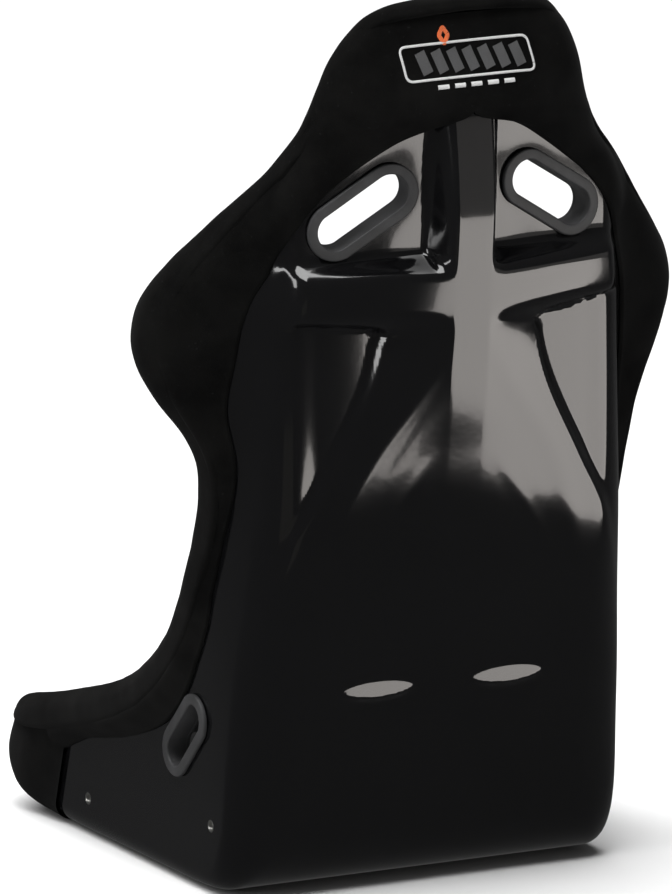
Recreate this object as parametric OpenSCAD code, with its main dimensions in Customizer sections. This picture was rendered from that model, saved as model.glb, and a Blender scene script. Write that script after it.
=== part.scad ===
// Fixed-back racing seat: a one-piece glass-fibre bucket with an upholstered rim, lining,
// cushions, harness slots and side-mount inserts. Millimetres, +Z up, the seat faces -Y,
// and the origin is the centre of the flat base on the floor.

/* [Overall size] */
// Height of the shell from its base to the top of the head
shell_height = 905; // [760:5:1090]
// Width of the shell across the shoulder wings
wing_width = 532; // [500:2:640]
// Width of the pan between its flat sides
pan_width = 440; // [400:2:520]
// Depth scale of the side view, front lip to spine
depth_scale = 1; // [0.85:0.01:1.2]

/* [Skin and upholstery] */
// Thickness of the moulded skin
skin = 4; // [3:0.5:6]
// Thickness of the upholstery fabric with its backing
cloth = 2; // [1:0.5:3]
// Thickness of the lining foam
lining = 10; // [6:1:16]
// Extra lining foam across the shoulders
shoulder_lining = 4; // [2:1:16]
// Clearance between a bonded layer and the skin
bond_gap = 0.3; // [0.2:0.1:0.6]
// Clearance between the fabric leaf or the rim slot and the skin
leaf_gap = 0.8; // [0.6:0.1:1.5]

// Foam under the fabric leaf at the front lip
nose_pad = 12; // [4:1:14]

/* [Shoulder harness slots] */
// Height of the slot centres above the base
shoulder_slot_z = 706; // [640:1:740]
// Distance of each slot centre from the middle of the seat
shoulder_slot_x = 104; // [96:1:116]
// Length of the slot opening
shoulder_slot_len = 104; // [80:1:110]
// Width of the slot opening
shoulder_slot_wide = 38; // [30:1:44]
// Slope of the slots, outer end lower
shoulder_slot_tilt = 32; // [10:1:45]

/* [Lap-belt slots] */
// Height of the lap slot centres above the base
lap_slot_z = 154; // [140:1:170]
// Distance of the lap slot centres behind the origin
lap_slot_y = 41; // [20:1:60]
// Length of the lap slot opening
lap_slot_len = 86; // [60:1:92]
// Width of the lap slot opening
lap_slot_wide = 30; // [24:1:36]
// Slope of the lap slots, front end lower
lap_slot_tilt = 46; // [40:1:75]

/* [Crotch-strap slot] */
// Distance of the crotch slot centre from the origin along Y
crotch_slot_y = -70; // [-110:1:-40]
// Length of the crotch slot across the seat
crotch_slot_len = 86; // [60:1:100]
// Width of the crotch slot
crotch_slot_wide = 30; // [24:1:40]

/* [Slot trims] */
// Width of the flat ring around a slot opening
trim_ring = 11; // [8:0.5:14]
// Thickness of the ring
trim_thick = 5; // [3:0.5:7]
// Wall of the tunnel that lines a slot
tunnel_wall = 2.5; // [1.5:0.5:4]
// Clearance around a tunnel or a ring
trim_gap = 0.4; // [0.2:0.1:1]

/* [Side-mount inserts] */
// Thread diameter of the inserts
thread_d = 8; // [6:1:10]
// Outer diameter of an insert barrel
barrel_d = 13; // [12:0.5:16]
// Length of an insert barrel
barrel_len = 13; // [12:0.5:13]
// Diameter of the insert flange behind the plate
insert_flange_d = 24; // [18:1:30]
// Thickness of the insert flange
insert_flange = 2.5; // [1.5:0.5:4]
// Rear insert: distance behind the origin
rear_insert_y = 92; // [80:1:96]
// Rear insert: height above the base
rear_insert_z = 72; // [60:1:80]
// Front insert: distance along Y
front_insert_y = -178; // [-190:1:-150]
// Front insert: height above the base
front_insert_z = 40; // [40:1:52]
// Thickness of the reinforcement plates
plate = 5; // [3:0.5:8]
// Clearance of a barrel in the skin and the plate
barrel_gap = 0.15; // [0.1:0.05:0.5]

/* [Cushions] */
// Thickness of the seat cushion
seat_pad = 34; // [24:1:44]
// Thickness of the back cushion
back_pad = 28; // [18:1:36]
// Thickness of the head pad
head_pad = 22; // [14:1:30]
// Thickness of the thigh and torso bolsters
bolster = 24; // [14:1:30]
// Thickness of the hook-and-loop strips under the cushions
strip = 2; // [1:0.5:4]

/* [Hidden] */

shell_black = [0.05, 0.05, 0.055];
cloth_black = [0.13, 0.13, 0.13];
foam_grey = [0.55, 0.55, 0.5];
trim_grey = [0.22, 0.22, 0.23];
zinc = [0.8, 0.8, 0.78];
round_fn = 48;

// Size of the shell as first drawn, which the overall sizes scale
drawn_height = 905;
drawn_wing = 532;
drawn_pan = 440;
high = shell_height / drawn_height;
broad = wing_width / drawn_wing;
pan_broad = pan_width / drawn_pan;

// Stations run from the front lip (0) along the pan and up the back to the head (20).
last = 20;
// Centre line of the outer skin: station, Y, Z
back_drawn = [
  [0, -346, 92], [1, -352, 60], [2, -334, 24], [3, -282, 3], [4, -200, 0], [5, -60, 0],
  [6, 60, 0], [7, 110, 10], [8, 140, 42], [9, 151, 100], [10, 161, 170], [11, 173, 245],
  [12, 187, 325], [13, 197, 400], [14, 200, 470], [15, 200, 545], [16, 200, 625],
  [17, 201, 710], [18, 208, 790], [19, 212, 860], [20, 200, 905]
];
// Edge of the skin: station, X, Y, Z
edge_drawn = [
  [0, 184, -340, 91], [1, 211, -322, 100], [2, 220, -288, 110], [3, 220, -232, 124],
  [4, 220, -180, 140], [5, 220, -105, 163], [6, 220, -48, 190], [7, 220, -14, 214],
  [8, 220, 16, 240], [9, 220, 42, 275], [10, 220, 62, 320], [11, 219, 82, 368],
  [12, 219, 97, 418], [13, 224, 98, 462], [14, 240, 80, 505], [15, 262, 68, 548],
  [16, 268, 70, 595], [17, 215, 110, 672], [18, 150, 160, 765], [19, 127, 178, 850],
  [20, 92, 190, 893]
];
// Bottom of the U: station, half width, corner radius, crown
floor_drawn = [
  [0, 166, 24, 0], [1, 206, 24, 0], [2, 217, 24, 0], [3, 220, 24, 0], [6, 220, 24, 0],
  [7, 220, 26, 0], [8, 220, 46, 0], [9, 218, 56, 2], [10, 214, 56, 4], [11, 207, 52, 10],
  [12, 201, 44, 16], [13, 195, 32, 20], [14, 191, 28, 20], [15, 188, 26, 20],
  [16, 186, 28, 20], [17, 176, 36, 22], [18, 140, 34, 18], [19, 123, 26, 14], [20, 76, 20, 6]
];
// Height of the spine over the back panels: Z, height
ridge_drawn = [
  [200, 0], [260, 3], [330, 8], [451, 16], [540, 26], [640, 34], [706, 37], [794, 22],
  [850, 4], [880, 0]
];
// Half width of the raised body: Z, half width
body_drawn = [
  [250, 205], [365, 172], [435, 136], [511, 97], [564, 82], [588, 84], [604, 172], [660, 178]
];
// Window of bare skin between the fabric leaves: station, part of the half section
window_line = [
  [0, 0.9], [2, 0.8], [2.4, 0.8], [3, 0.84], [4, 0.9], [5, 0.93], [8, 0.93], [9, 0.91],
  [10, 0.89], [11, 0.91], [12, 0.86], [13, 0.83], [14, 0.84], [15, 0.79], [16, 0.745],
  [16.5, 0.66], [17, 0.5], [17.5, 0.34], [18, 0.1], [20, 0.1]
];
// Rim roll: place along the rim, reach outwards, rise at the rear, rise at the front, lap
roll_line = [
  [-1, 12, 14, 15, 8], [0, 16, 18, 15, 8], [1, 17, 19, 15, 8], [3, 15, 18, 15, 20],
  [8, 14, 16, 14, 24], [11, 16, 13, 14, 24], [13, 16, 20, 14, 24], [14, 20, 30, 15, 24],
  [15, 24, 36, 16, 24], [16, 24, 36, 16, 24], [17, 18, 26, 16, 24], [18, 9, 15, 15, 10],
  [19, 9, 12, 15, 8], [20, 9, 14, 15, 8], [21, 8, 12, 15, 8]
];

back_line = [for (g = back_drawn) [g[0], g[1] * depth_scale, g[2] * high]];
edge_line = [for (g = edge_drawn)
  [g[0], g[1] * (g[0] < 12 ? pan_broad : broad), g[2] * depth_scale, g[3] * high]];
floor_line = [for (g = floor_drawn) [g[0], g[1] * pan_broad, g[2], g[3]]];
ridge_line = [for (g = ridge_drawn) [g[0] * high, g[1]]];
body_line = [for (g = body_drawn) [g[0] * high, g[1] * pan_broad]];

// Parts of the half section where the flat ends and where the wall begins
flat_end = 0.5;
wall_start = 0.7;
pan_half = pan_width / 2;

// --- small helpers ---

function clamp(v, lo, hi) = max(lo, min(hi, v));
function ease(v) = let (c = clamp(v, 0, 1)) c * c * (3 - 2 * c);
function blend(a, b, f) = a + (b - a) * f;
function unit(v) = v / norm(v);
function flip(p) = [-p[0], p[1], p[2]];
function reversed(list) = [for (i = [len(list) - 1:-1:0]) list[i]];
function flat(lists) = [for (list = lists) each list];
function even(a, b, n) = [for (i = [0:n]) blend(a, b, i / n)];

// A smooth curve through the rows of a table, whose first column is the place
function knot_slope(g, k) =
  let (a = max(0, k - 1), b = min(len(g) - 1, k + 1)) (g[b] - g[a]) / (g[b][0] - g[a][0]);
function guide(g, s) =
  let (
    k = max([0, for (i = [0:len(g) - 2]) if (s >= g[i][0]) i]),
    h = g[k + 1][0] - g[k][0],
    f = clamp((s - g[k][0]) / h, 0, 1)
  )
  (2 * f ^ 3 - 3 * f ^ 2 + 1) * g[k] + (f ^ 3 - 2 * f ^ 2 + f) * h * knot_slope(g, k)
  + (3 * f ^ 2 - 2 * f ^ 3) * g[k + 1] + (f ^ 3 - f ^ 2) * h * knot_slope(g, k + 1);

// --- the outer skin: a U in a plane that fans round from the pan to the head ---

function station(s) =
  let (
    back = guide(back_line, s),
    edge = guide(edge_line, s),
    bottom = guide(floor_line, s),
    rest = max(0, back[2]),
    run = [edge[2] - back[1], edge[3] - rest],
    depth = norm(run),
    lean = atan2(depth, edge[1] - bottom[1]),
    radius = min(bottom[2], 0.6 * depth)
  )
  [back[1], rest, run[0] / depth, run[1] / depth, bottom[1], lean, radius,
   radius * tan(lean / 2), norm([depth, edge[1] - bottom[1]]), bottom[3]];

// Place in the plane of the U: across, and up from its bottom
function u_place(st, part) =
  part < flat_end ? [part / flat_end * (st[4] - st[7]), 0]
  : part < wall_start ?
    let (turn = (part - flat_end) / (wall_start - flat_end) * st[5])
    [st[4] - st[7] + st[6] * sin(turn), st[6] * (1 - cos(turn))]
  : let (d = st[7] + (part - wall_start) / (1 - wall_start) * (st[8] - st[7]))
    [st[4] + d * cos(st[5]), d * sin(st[5])];

// The skin without its spine and pockets
function bare(st, t) =
  let (
    part = abs(t),
    u = u_place(st, part),
    fall = st[9] * min(1, (u[0] / st[4]) ^ 2) * (1 - ease((part - wall_start) / (1 - wall_start))),
    w = u[1] + fall
  )
  [sign(t) * u[0], st[0] + st[2] * w, st[1] + st[3] * w];

pocket_z = 638 * high;
pocket_fillet = 26;
spine_half = 20;
spine_side = 18;
panel_step = 22;
roof_fall = 0.5;

// Rise of the spine and of the body over the panels and the pockets
function rise(x, z) =
  z < ridge_line[0][0] ? 0
  : let (
      a = abs(x),
      ridge = max(0, guide(ridge_line, z)[1]),
      spine = 1 - ease((a - spine_half) / spine_side),
      reach = guide(body_line, z)[1],
      roof = 1 - roof_fall * clamp((a - spine_half) / (reach - spine_half), 0, 1),
      body = roof * (1 - ease((a - reach) / panel_step)),
      pocket = ease((z - pocket_z) / pocket_fillet)
    )
    ridge * blend(body, spine, pocket);

// Where a shoulder slot is on the bare skin: its centre and its outward direction
function height_station(z) = lookup(z, [for (g = back_line) if (g[0] >= 9) [g[2], g[0]]]);
function flat_part(st, x) = flat_end * x / (st[4] - st[7]);
shoulder_s = height_station(shoulder_slot_z);
shoulder_t = flat_part(station(shoulder_s), shoulder_slot_x);
shoulder_c = bare(station(shoulder_s), shoulder_t);
shoulder_n = unit(cross(
  bare(station(shoulder_s + 0.2), shoulder_t) - bare(station(shoulder_s - 0.2), shoulder_t),
  bare(station(shoulder_s), shoulder_t + 0.05) - bare(station(shoulder_s), shoulder_t - 0.05)));
shoulder_level = unit(cross(shoulder_n, [0, 0, 1]));
shoulder_up = cross(shoulder_level, shoulder_n);
shoulder_long = cos(shoulder_slot_tilt) * shoulder_level - sin(shoulder_slot_tilt) * shoulder_up;
shoulder_short = cross(shoulder_n, shoulder_long);
slot_flat = 16;
slot_fade = 16;

// Distance of a point from the middle line of the shoulder slot
function slot_far(p) =
  let (
    d = p - shoulder_c,
    half = (shoulder_slot_len - shoulder_slot_wide) / 2,
    along = max(0, abs(d * shoulder_long) - half)
  )
  norm([along, d * shoulder_short]);

// The outer skin, moulded flat where the slot trims seat
function skin_at(st, t) =
  let (
    p = bare(st, t),
    fade = 1 - ease((abs(t) - flat_end) / (wall_start - flat_end)),
    q = [abs(p[0]), p[1] + rise(p[0], p[2]) * fade, p[2]],
    seat = shoulder_slot_wide / 2 + trim_ring + slot_flat,
    level = 1 - ease((slot_far(q) - seat) / slot_fade),
    lift = level <= 0 || p[1] < 0 ? 0 : ((shoulder_c - q) * shoulder_n) / shoulder_n[1]
  )
  [p[0], q[1] + lift * level, q[2]];

near = 0.04;
function normal_in(before, here, after, t) =
  let (c = clamp(t, -0.97, 0.97))
  unit(cross(skin_at(here, c + near) - skin_at(here, c - near), skin_at(after, c) - skin_at(before, c)));

// A row of points at one station, each moved inwards from the outer skin
function skin_row(s, parts, inwards) =
  let (
    here = station(s),
    c = clamp(s, 0.3, 19.7),
    mid = station(c),
    before = station(c - near),
    after = station(c + near)
  )
  [for (t = parts) skin_at(here, t) + inwards(s, t) * normal_in(before, mid, after, t)];

// Part of the half section that lies a distance in from the edge of the skin
function inset_part(s, away) =
  let (
    st = station(s),
    wall = st[8] - st[7],
    bend = st[6] * st[5] * PI / 180
  )
  away < wall ? 1 - (1 - wall_start) * away / wall
  : wall_start - (wall_start - flat_end) * min(1, (away - wall) / bend);

// --- solids between two layers of the skin ---

function mesh_faces(rows, cols) =
  let (n = rows * cols)
  [
    for (i = [0:rows - 2], j = [0:cols - 2])
      let (a = i * cols + j, b = a + 1, c = a + cols, d = c + 1)
      each [[a, b, d], [a, d, c], [n + a, n + d, n + b], [n + a, n + c, n + d]],
    for (i = [0:rows - 2])
      let (a = i * cols, c = a + cols, b = a + cols - 1, d = c + cols - 1)
      each [[a, c, n + c], [a, n + c, n + a], [b, n + d, d], [b, n + b, n + d]],
    for (j = [0:cols - 2])
      let (a = j, b = j + 1, c = (rows - 1) * cols + j, d = c + 1)
      each [[a, n + a, n + b], [a, n + b, b], [c, n + d, n + c], [c, d, n + d]]
  ];

// stations: list of places; parts(s): columns at a station; outer, inner: distances inwards
module layer(stations, parts, outer, inner) {
  near_rows = [for (s = stations) skin_row(s, parts(s), outer)];
  far_rows = [for (s = stations) skin_row(s, parts(s), inner)];
  polyhedron(
    points = concat(flat(near_rows), flat(far_rows)),
    faces = mesh_faces(len(stations), len(near_rows[0])),
    convexity = 8
  );
}

function level(d) = function (s, t) d;

flat_steps = 6;
bend_steps = 4;
wall_steps = 3;
function half_parts(stop) = concat(
  even(0, flat_end, flat_steps),
  [for (v = even(flat_end, wall_start, bend_steps)) if (v > flat_end) v],
  [for (v = even(wall_start, stop, wall_steps)) if (v > wall_start) v]
);
function full_parts(stop) =
  let (right = half_parts(stop)) concat([for (v = reversed(right)) if (v > 0) -v], right);

skin_stations = concat([0, 0.4, 0.8, 1.3, 1.8, 2.4, 3, 4.5], [for (s = [6:0.5:9.5]) s],
  [for (s = [10:1:15]) s], [for (s = [15.5:0.25:18.25]) s], [18.6, 19, 19.35, 19.7, 20]);
function stations_between(a, b) = [for (s = skin_stations) if (s >= a && s <= b) s];

// --- slots and trims ---

module obround(len, wide, tall) {
  for (x = [-1, 1] * (len - wide) / 2) translate([x, 0, 0]) cylinder(h = tall, d = wide, $fn = round_fn);
  translate([-(len - wide) / 2, -wide / 2, 0]) cube([len - wide, wide, tall]);
}

module ring(len, wide, thick) {
  difference() {
    obround(len + 2 * trim_ring, wide + 2 * trim_ring, thick);
    translate([0, 0, -1]) obround(len, wide, thick + 2);
  }
}

// Lays a slot's own frame on the seat: X along the slot, Z out of the surface
module in_frame(c, long, short, out) {
  multmatrix([
    [long[0], short[0], out[0], c[0]],
    [long[1], short[1], out[1], c[1]],
    [long[2], short[2], out[2], c[2]]
  ]) children();
}

module at_shoulder(side) {
  mirror([side < 0 ? 1 : 0, 0, 0])
    in_frame(shoulder_c, shoulder_long, shoulder_short, shoulder_n) children();
}

module at_lap(side) {
  long = [0, cos(lap_slot_tilt), sin(lap_slot_tilt)];
  mirror([side < 0 ? 1 : 0, 0, 0])
    in_frame([pan_half, lap_slot_y, lap_slot_z], long, cross([1, 0, 0], long), [1, 0, 0]) children();
}

lining_depth = skin + bond_gap + lining;
shoulder_depth = lining_depth + shoulder_lining;
seat_top = lining_depth + cloth + strip + seat_pad;

// What a slot removes from every layer that it passes through
module shoulder_cuts(grow) {
  for (side = [-1, 1]) at_shoulder(side)
    translate([0, 0, -shoulder_depth - 40])
      obround(shoulder_slot_len + 2 * grow, shoulder_slot_wide + 2 * grow, shoulder_depth + 90);
}

module lap_cuts(grow) {
  for (side = [-1, 1]) at_lap(side)
    translate([0, 0, -40]) obround(lap_slot_len + 2 * grow, lap_slot_wide + 2 * grow, 60);
}

module crotch_cut(grow) {
  translate([0, crotch_slot_y, -5])
    obround(crotch_slot_len + 2 * grow, crotch_slot_wide + 2 * grow, 110);
}

through = tunnel_wall + trim_gap;

module insert_axes() {
  for (side = [-1, 1], place = [[front_insert_y, front_insert_z], [rear_insert_y, rear_insert_z]])
    mirror([side < 0 ? 1 : 0, 0, 0]) translate([pan_half, place[0], place[1]])
      rotate([0, -90, 0]) children();
}

// --- sub-parts ---

module shell() {
  color(shell_black) difference() {
    layer(skin_stations, function (s) full_parts(1), level(0), level(skin));
    shoulder_cuts(through);
    lap_cuts(through);
    crotch_cut(through);
    for (side = [-1, 1]) at_shoulder(side)
      obround(shoulder_slot_len + 2 * (trim_ring + trim_gap),
        shoulder_slot_wide + 2 * (trim_ring + trim_gap), 60);
    insert_axes() translate([0, 0, -1])
      cylinder(h = skin + 2, d = barrel_d + 2 * barrel_gap, $fn = round_fn);
  }
}

plate_front = front_insert_y - 26;
plate_rear = rear_insert_y + 8;
plate_low = front_insert_z - 13;
plate_high = rear_insert_z + 20;
plate_cut = 36;

// Outline of a reinforcement plate in the side of the pan, as a solid along +X from x
module plate_solid(x, thick, grow) {
  translate([x, 0, 0]) rotate([90, 0, 90]) linear_extrude(thick) polygon([
    [plate_front - grow, plate_low - grow],
    [plate_rear - plate_cut + grow, plate_low - grow],
    [plate_rear + grow, plate_low + plate_cut - grow],
    [plate_rear + grow, plate_high + grow],
    [plate_front - grow, plate_high + grow]
  ]);
}

module side_plate(side) {
  color(foam_grey) mirror([side < 0 ? 1 : 0, 0, 0]) difference() {
    plate_solid(pan_half - skin - plate, plate, 0);
    for (place = [[front_insert_y, front_insert_z], [rear_insert_y, rear_insert_z]])
      translate([pan_half - skin - plate - 1, place[0], place[1]]) rotate([0, 90, 0])
        cylinder(h = plate + 2, d = barrel_d + 2 * barrel_gap, $fn = round_fn);
  }
}

module side_insert(side, y, z) {
  flange_at = skin + plate;
  color(zinc) mirror([side < 0 ? 1 : 0, 0, 0]) translate([pan_half, y, z]) rotate([0, -90, 0])
    difference() {
      union() {
        cylinder(h = barrel_len, d = barrel_d, $fn = round_fn);
        translate([0, 0, flange_at]) cylinder(h = insert_flange, d = insert_flange_d, $fn = round_fn);
      }
      translate([0, 0, -1]) cylinder(h = barrel_len + 2, d = thread_d, $fn = round_fn);
    }
}

module shoulder_trim_rear(side) {
  depth = shoulder_depth + cloth;
  color(trim_grey) at_shoulder(side) difference() {
    union() {
      obround(shoulder_slot_len + 2 * trim_ring, shoulder_slot_wide + 2 * trim_ring, trim_thick);
      translate([0, 0, -depth])
        obround(shoulder_slot_len + 2 * tunnel_wall, shoulder_slot_wide + 2 * tunnel_wall, depth + 1);
    }
    translate([0, 0, -depth - 1]) obround(shoulder_slot_len, shoulder_slot_wide, depth + trim_thick + 2);
  }
}

module shoulder_trim_front(side) {
  color(trim_grey) at_shoulder(side)
    translate([0, 0, -shoulder_depth - cloth - trim_thick])
      ring(shoulder_slot_len, shoulder_slot_wide, trim_thick);
}

module lap_trim_outer(side) {
  depth = lining_depth + cloth;
  color(trim_grey) at_lap(side) difference() {
    union() {
      obround(lap_slot_len + 2 * trim_ring, lap_slot_wide + 2 * trim_ring, trim_thick);
      translate([0, 0, -depth])
        obround(lap_slot_len + 2 * tunnel_wall, lap_slot_wide + 2 * tunnel_wall, depth + 1);
    }
    translate([0, 0, -depth - 1]) obround(lap_slot_len, lap_slot_wide, depth + trim_thick + 2);
  }
}

module lap_trim_inner(side) {
  color(trim_grey) at_lap(side)
    translate([0, 0, -lining_depth - cloth - trim_thick]) ring(lap_slot_len, lap_slot_wide, trim_thick);
}

module crotch_trim() {
  color(trim_grey) translate([0, crotch_slot_y, 0]) difference() {
    union() {
      translate([0, 0, seat_top]) obround(crotch_slot_len + 2 * trim_ring,
        crotch_slot_wide + 2 * trim_ring, trim_thick);
      translate([0, 0, 0.5]) obround(crotch_slot_len + 2 * tunnel_wall,
        crotch_slot_wide + 2 * tunnel_wall, seat_top);
    }
    translate([0, 0, -1]) obround(crotch_slot_len, crotch_slot_wide, seat_top + trim_thick + 2);
  }
}

// --- rim roll: a padded profile that runs right round the edge of the skin ---

// Place along the rim: -1 front centre, 0 front corner, 20 head corner, 21 head centre
function rim_place(e) = e < 0 ? [0, 1 + e] : e > last ? [last, last + 1 - e] : [e, 1];
function rim_point(e) = let (p = rim_place(e)) skin_at(station(p[0]), p[1]);
function rim_frame(e) =
  let (
    p = rim_place(e),
    s = clamp(p[0], 0.3, 19.7),
    inner = normal_in(station(s - near), station(s), station(s + near), p[1]),
    run = rim_point(min(e + 0.1, 21)) - rim_point(max(e - 0.1, -1)),
    inwards = unit(cross(run, -inner))
  )
  [rim_point(e), inwards, unit(cross(inwards, run))];

// Outside of the roll from its rear lap round to its front lap, shrunk by a fabric thickness
function roll_outline(e, less) =
  let (
    g = guide(roll_line, e),
    out = g[1], rear = g[2], front = g[3], lap = g[4],
    start = 0.3 * lap,
    top = rear - less,
    low = -(skin + front) + less,
    mid = -skin / 2,
    leaf = leaf_gap + cloth - less
  )
  concat(
    [[lap, leaf], [blend(lap, start, 0.45), blend(leaf, top, 0.6)], [start, top]],
    [for (a = [30:30:90]) [start - (start + out - less) * sin(a), mid + (top - mid) * cos(a)]],
    [for (a = [120:30:180]) [start - (start + out - less) * sin(a), mid + (mid - low) * cos(a)]],
    [[lap, low]]
  );

function cover_profile(e) = concat(roll_outline(e, 0), reversed(roll_outline(e, cloth)));
function foam_profile(e) =
  let (lap = guide(roll_line, e)[4])
  concat(roll_outline(e, cloth),
    [[lap, -skin - leaf_gap], [-leaf_gap, -skin - leaf_gap], [-leaf_gap, leaf_gap]]);

rim_places = concat([-1, -0.5, -0.2], even(0, 2, 4), even(3, 9, 4), even(10, 13, 3),
  even(13.5, 19, 11), [19.5, 20, 20.3, 20.6, 21]);

module rim_sweep(profile) {
  right = [for (e = rim_places) let (f = rim_frame(e))
    [for (p = profile(e)) f[0] + p[0] * f[1] + p[1] * f[2]]];
  count = len(right);
  left = [for (i = [count - 2:-1:1]) [for (p = right[i]) flip(p)]];
  rings = concat(right, left);
  n = len(rings[0]);
  polyhedron(
    points = flat(rings),
    faces = [
      for (i = [0:len(rings) - 1], j = [0:n - 1])
        let (
          a = i * n + j,
          b = i * n + (j + 1) % n,
          c = (i + 1) % len(rings) * n + j,
          d = (i + 1) % len(rings) * n + (j + 1) % n
        )
        each [[a, d, b], [a, c, d]]
    ],
    convexity = 10
  );
}

module rim_foam() {
  color(foam_grey) rim_sweep(function (e) foam_profile(e));
}

module rim_cover() {
  color(cloth_black) rim_sweep(function (e) cover_profile(e));
}

// --- fabric leaves on the outside of the shell ---

leaf_clear = 1.5;
function lap_part(s) = inset_part(s, guide(roll_line, s)[4] + leaf_clear);
head_leaf_start = 18;
front_leaf_end = 2.4;

module rear_leaf(side) {
  color(cloth_black) mirror([side < 0 ? 1 : 0, 0, 0])
    layer(stations_between(front_leaf_end + 0.1, head_leaf_start - 0.1),
      function (s) even(min(guide(window_line, s)[1], lap_part(s) - 0.03), lap_part(s), 4),
      level(-leaf_gap - cloth), level(-leaf_gap));
}

module head_leaf() {
  color(cloth_black) layer(stations_between(head_leaf_start, 19.7),
    function (s) full_parts(max(lap_part(s), 0.71)),
    level(-leaf_gap - cloth), level(-leaf_gap));
}

// Padding of the front leaf: full on the nose and at the sides, thin under the pan
function nose_rise(s, t) = let (
    under = ease((s - 1.2) / 0.9),
    side = ease((abs(t) - flat_end) / (wall_start - flat_end))
  )
  leaf_gap + cloth + nose_pad * blend(1, side, under);

module front_leaf() {
  color(cloth_black) layer(stations_between(0.4, front_leaf_end), function (s) full_parts(lap_part(s)),
    function (s, t) -nose_rise(s, t), level(-leaf_gap));
}

// --- lining and cushions ---

lining_first = 0.8;
lining_last = 19.35;
function lining_inner(s) = lining_depth
  + shoulder_lining * ease((s - 15) / 1) * (1 - ease((s - 17.5) / 0.5));

module lining_shape(outer, inner) {
  layer(stations_between(lining_first, lining_last),
    function (s) full_parts(max(inset_part(s, guide(roll_line, s)[4] + leaf_clear), 0.72)), outer, inner);
}

// Pocket in the lining foam for a plate and the inserts behind it
module plate_pockets() {
  for (side = [-1, 1]) mirror([side < 0 ? 1 : 0, 0, 0])
    plate_solid(pan_half - barrel_len - trim_gap, barrel_len, trim_gap);
}

module lining_foam() {
  color(foam_grey) difference() {
    lining_shape(level(skin + bond_gap), function (s, t) lining_inner(s));
    shoulder_cuts(through);
    lap_cuts(through);
    crotch_cut(through);
    plate_pockets();
  }
}

module lining_cloth() {
  color(cloth_black) difference() {
    lining_shape(function (s, t) lining_inner(s), function (s, t) lining_inner(s) + cloth);
    shoulder_cuts(through);
    lap_cuts(through);
    crotch_cut(through);
  }
}

// A crowned pad that lies on the lining, from station a to b and between parts p and q of
// the section. It is drawn smaller by inset all round, and starts under its base for a cut.
pad_rows = 7;
pad_cols = 6;
pad_edge = 0.5;
inset_station = 60;
inset_section = 300;
function crown_at(v) = 1 - (2 * v - 1) ^ 4;
module pad(a, b, p, q, base, thick, inset = 0, under = 0) {
  a_in = a + inset / inset_station;
  b_in = b - inset / inset_station;
  p_in = p + inset / inset_section;
  q_in = q - inset / inset_section;
  top = function (s, t) base - inset + thick * (pad_edge
    + (1 - pad_edge) * crown_at((s - a) / (b - a)) * crown_at((t - p) / (q - p)));
  layer(even(a_in, b_in, pad_rows), function (s) even(p_in, q_in, pad_cols), level(base - under), top);
}

module pad_cover(a, b, p, q, base, thick) {
  color(cloth_black) difference() {
    pad(a, b, p, q, base, thick);
    pad(a, b, p, q, base, thick, cloth, 1);
  }
}

module pad_foam(a, b, p, q, base, thick) {
  color(foam_grey) pad(a, b, p, q, base, thick, cloth + bond_gap);
}

pad_base = lining_depth + cloth + strip;
pad_part = 0.45;
seat_from = 1.5;
seat_to = 7;
back_from = 9.5;
back_to = 14.8;
head_from = 18.1;
head_to = 19.3;
head_part = 0.4;

module seat_cushion_cover() {
  difference() {
    pad_cover(seat_from, seat_to, -pad_part, pad_part, pad_base, seat_pad);
    crotch_cut(through);
  }
}

module seat_cushion_foam() {
  difference() {
    pad_foam(seat_from, seat_to, -pad_part, pad_part, pad_base, seat_pad);
    crotch_cut(through);
  }
}

module back_cushion_cover() pad_cover(back_from, back_to, -pad_part, pad_part, pad_base, back_pad);
module back_cushion_foam() pad_foam(back_from, back_to, -pad_part, pad_part, pad_base, back_pad);
module head_pad_cover() pad_cover(head_from, head_to, -head_part, head_part, pad_base, head_pad);
module head_pad_foam() pad_foam(head_from, head_to, -head_part, head_part, pad_base, head_pad);

bolster_base = lining_depth + cloth;
module thigh_bolster(side) {
  color(cloth_black) mirror([side < 0 ? 1 : 0, 0, 0]) pad(1.8, 5.8, 0.72, 0.86, bolster_base, bolster);
}

module torso_bolster(side) {
  color(cloth_black) mirror([side < 0 ? 1 : 0, 0, 0]) pad(9.6, 14.9, 0.72, 0.9, bolster_base, bolster);
}

// Strips of hook-and-loop between the lining and the cushions
strip_half = 0.04;
strip_part = 0.28;
module cushion_strips() {
  spans = [[seat_from + 0.4, 4, strip_part], [back_from + 0.4, back_to - 0.4, strip_part],
    [head_from + 0.2, head_to - 0.2, strip_part]];
  color(trim_grey) for (span = spans, side = [-1, 1])
    layer(even(span[0], span[1], 6),
      function (s) even(side * span[2] - strip_half, side * span[2] + strip_half, 1),
      level(bolster_base), level(pad_base));
}

// Embroidered patch on the back of the head: it shares its grid with the head leaf
emblem_thick = 1.2;
emblem_cells = 4;
emblem_stations = [18.6, 19, 19.35];
module head_emblem() {
  cell = flat_end / flat_steps;
  color("white") layer(emblem_stations, function (s) [for (i = [-emblem_cells:emblem_cells]) i * cell],
    level(-leaf_gap - cloth - emblem_thick), level(-leaf_gap - cloth));
}

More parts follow.
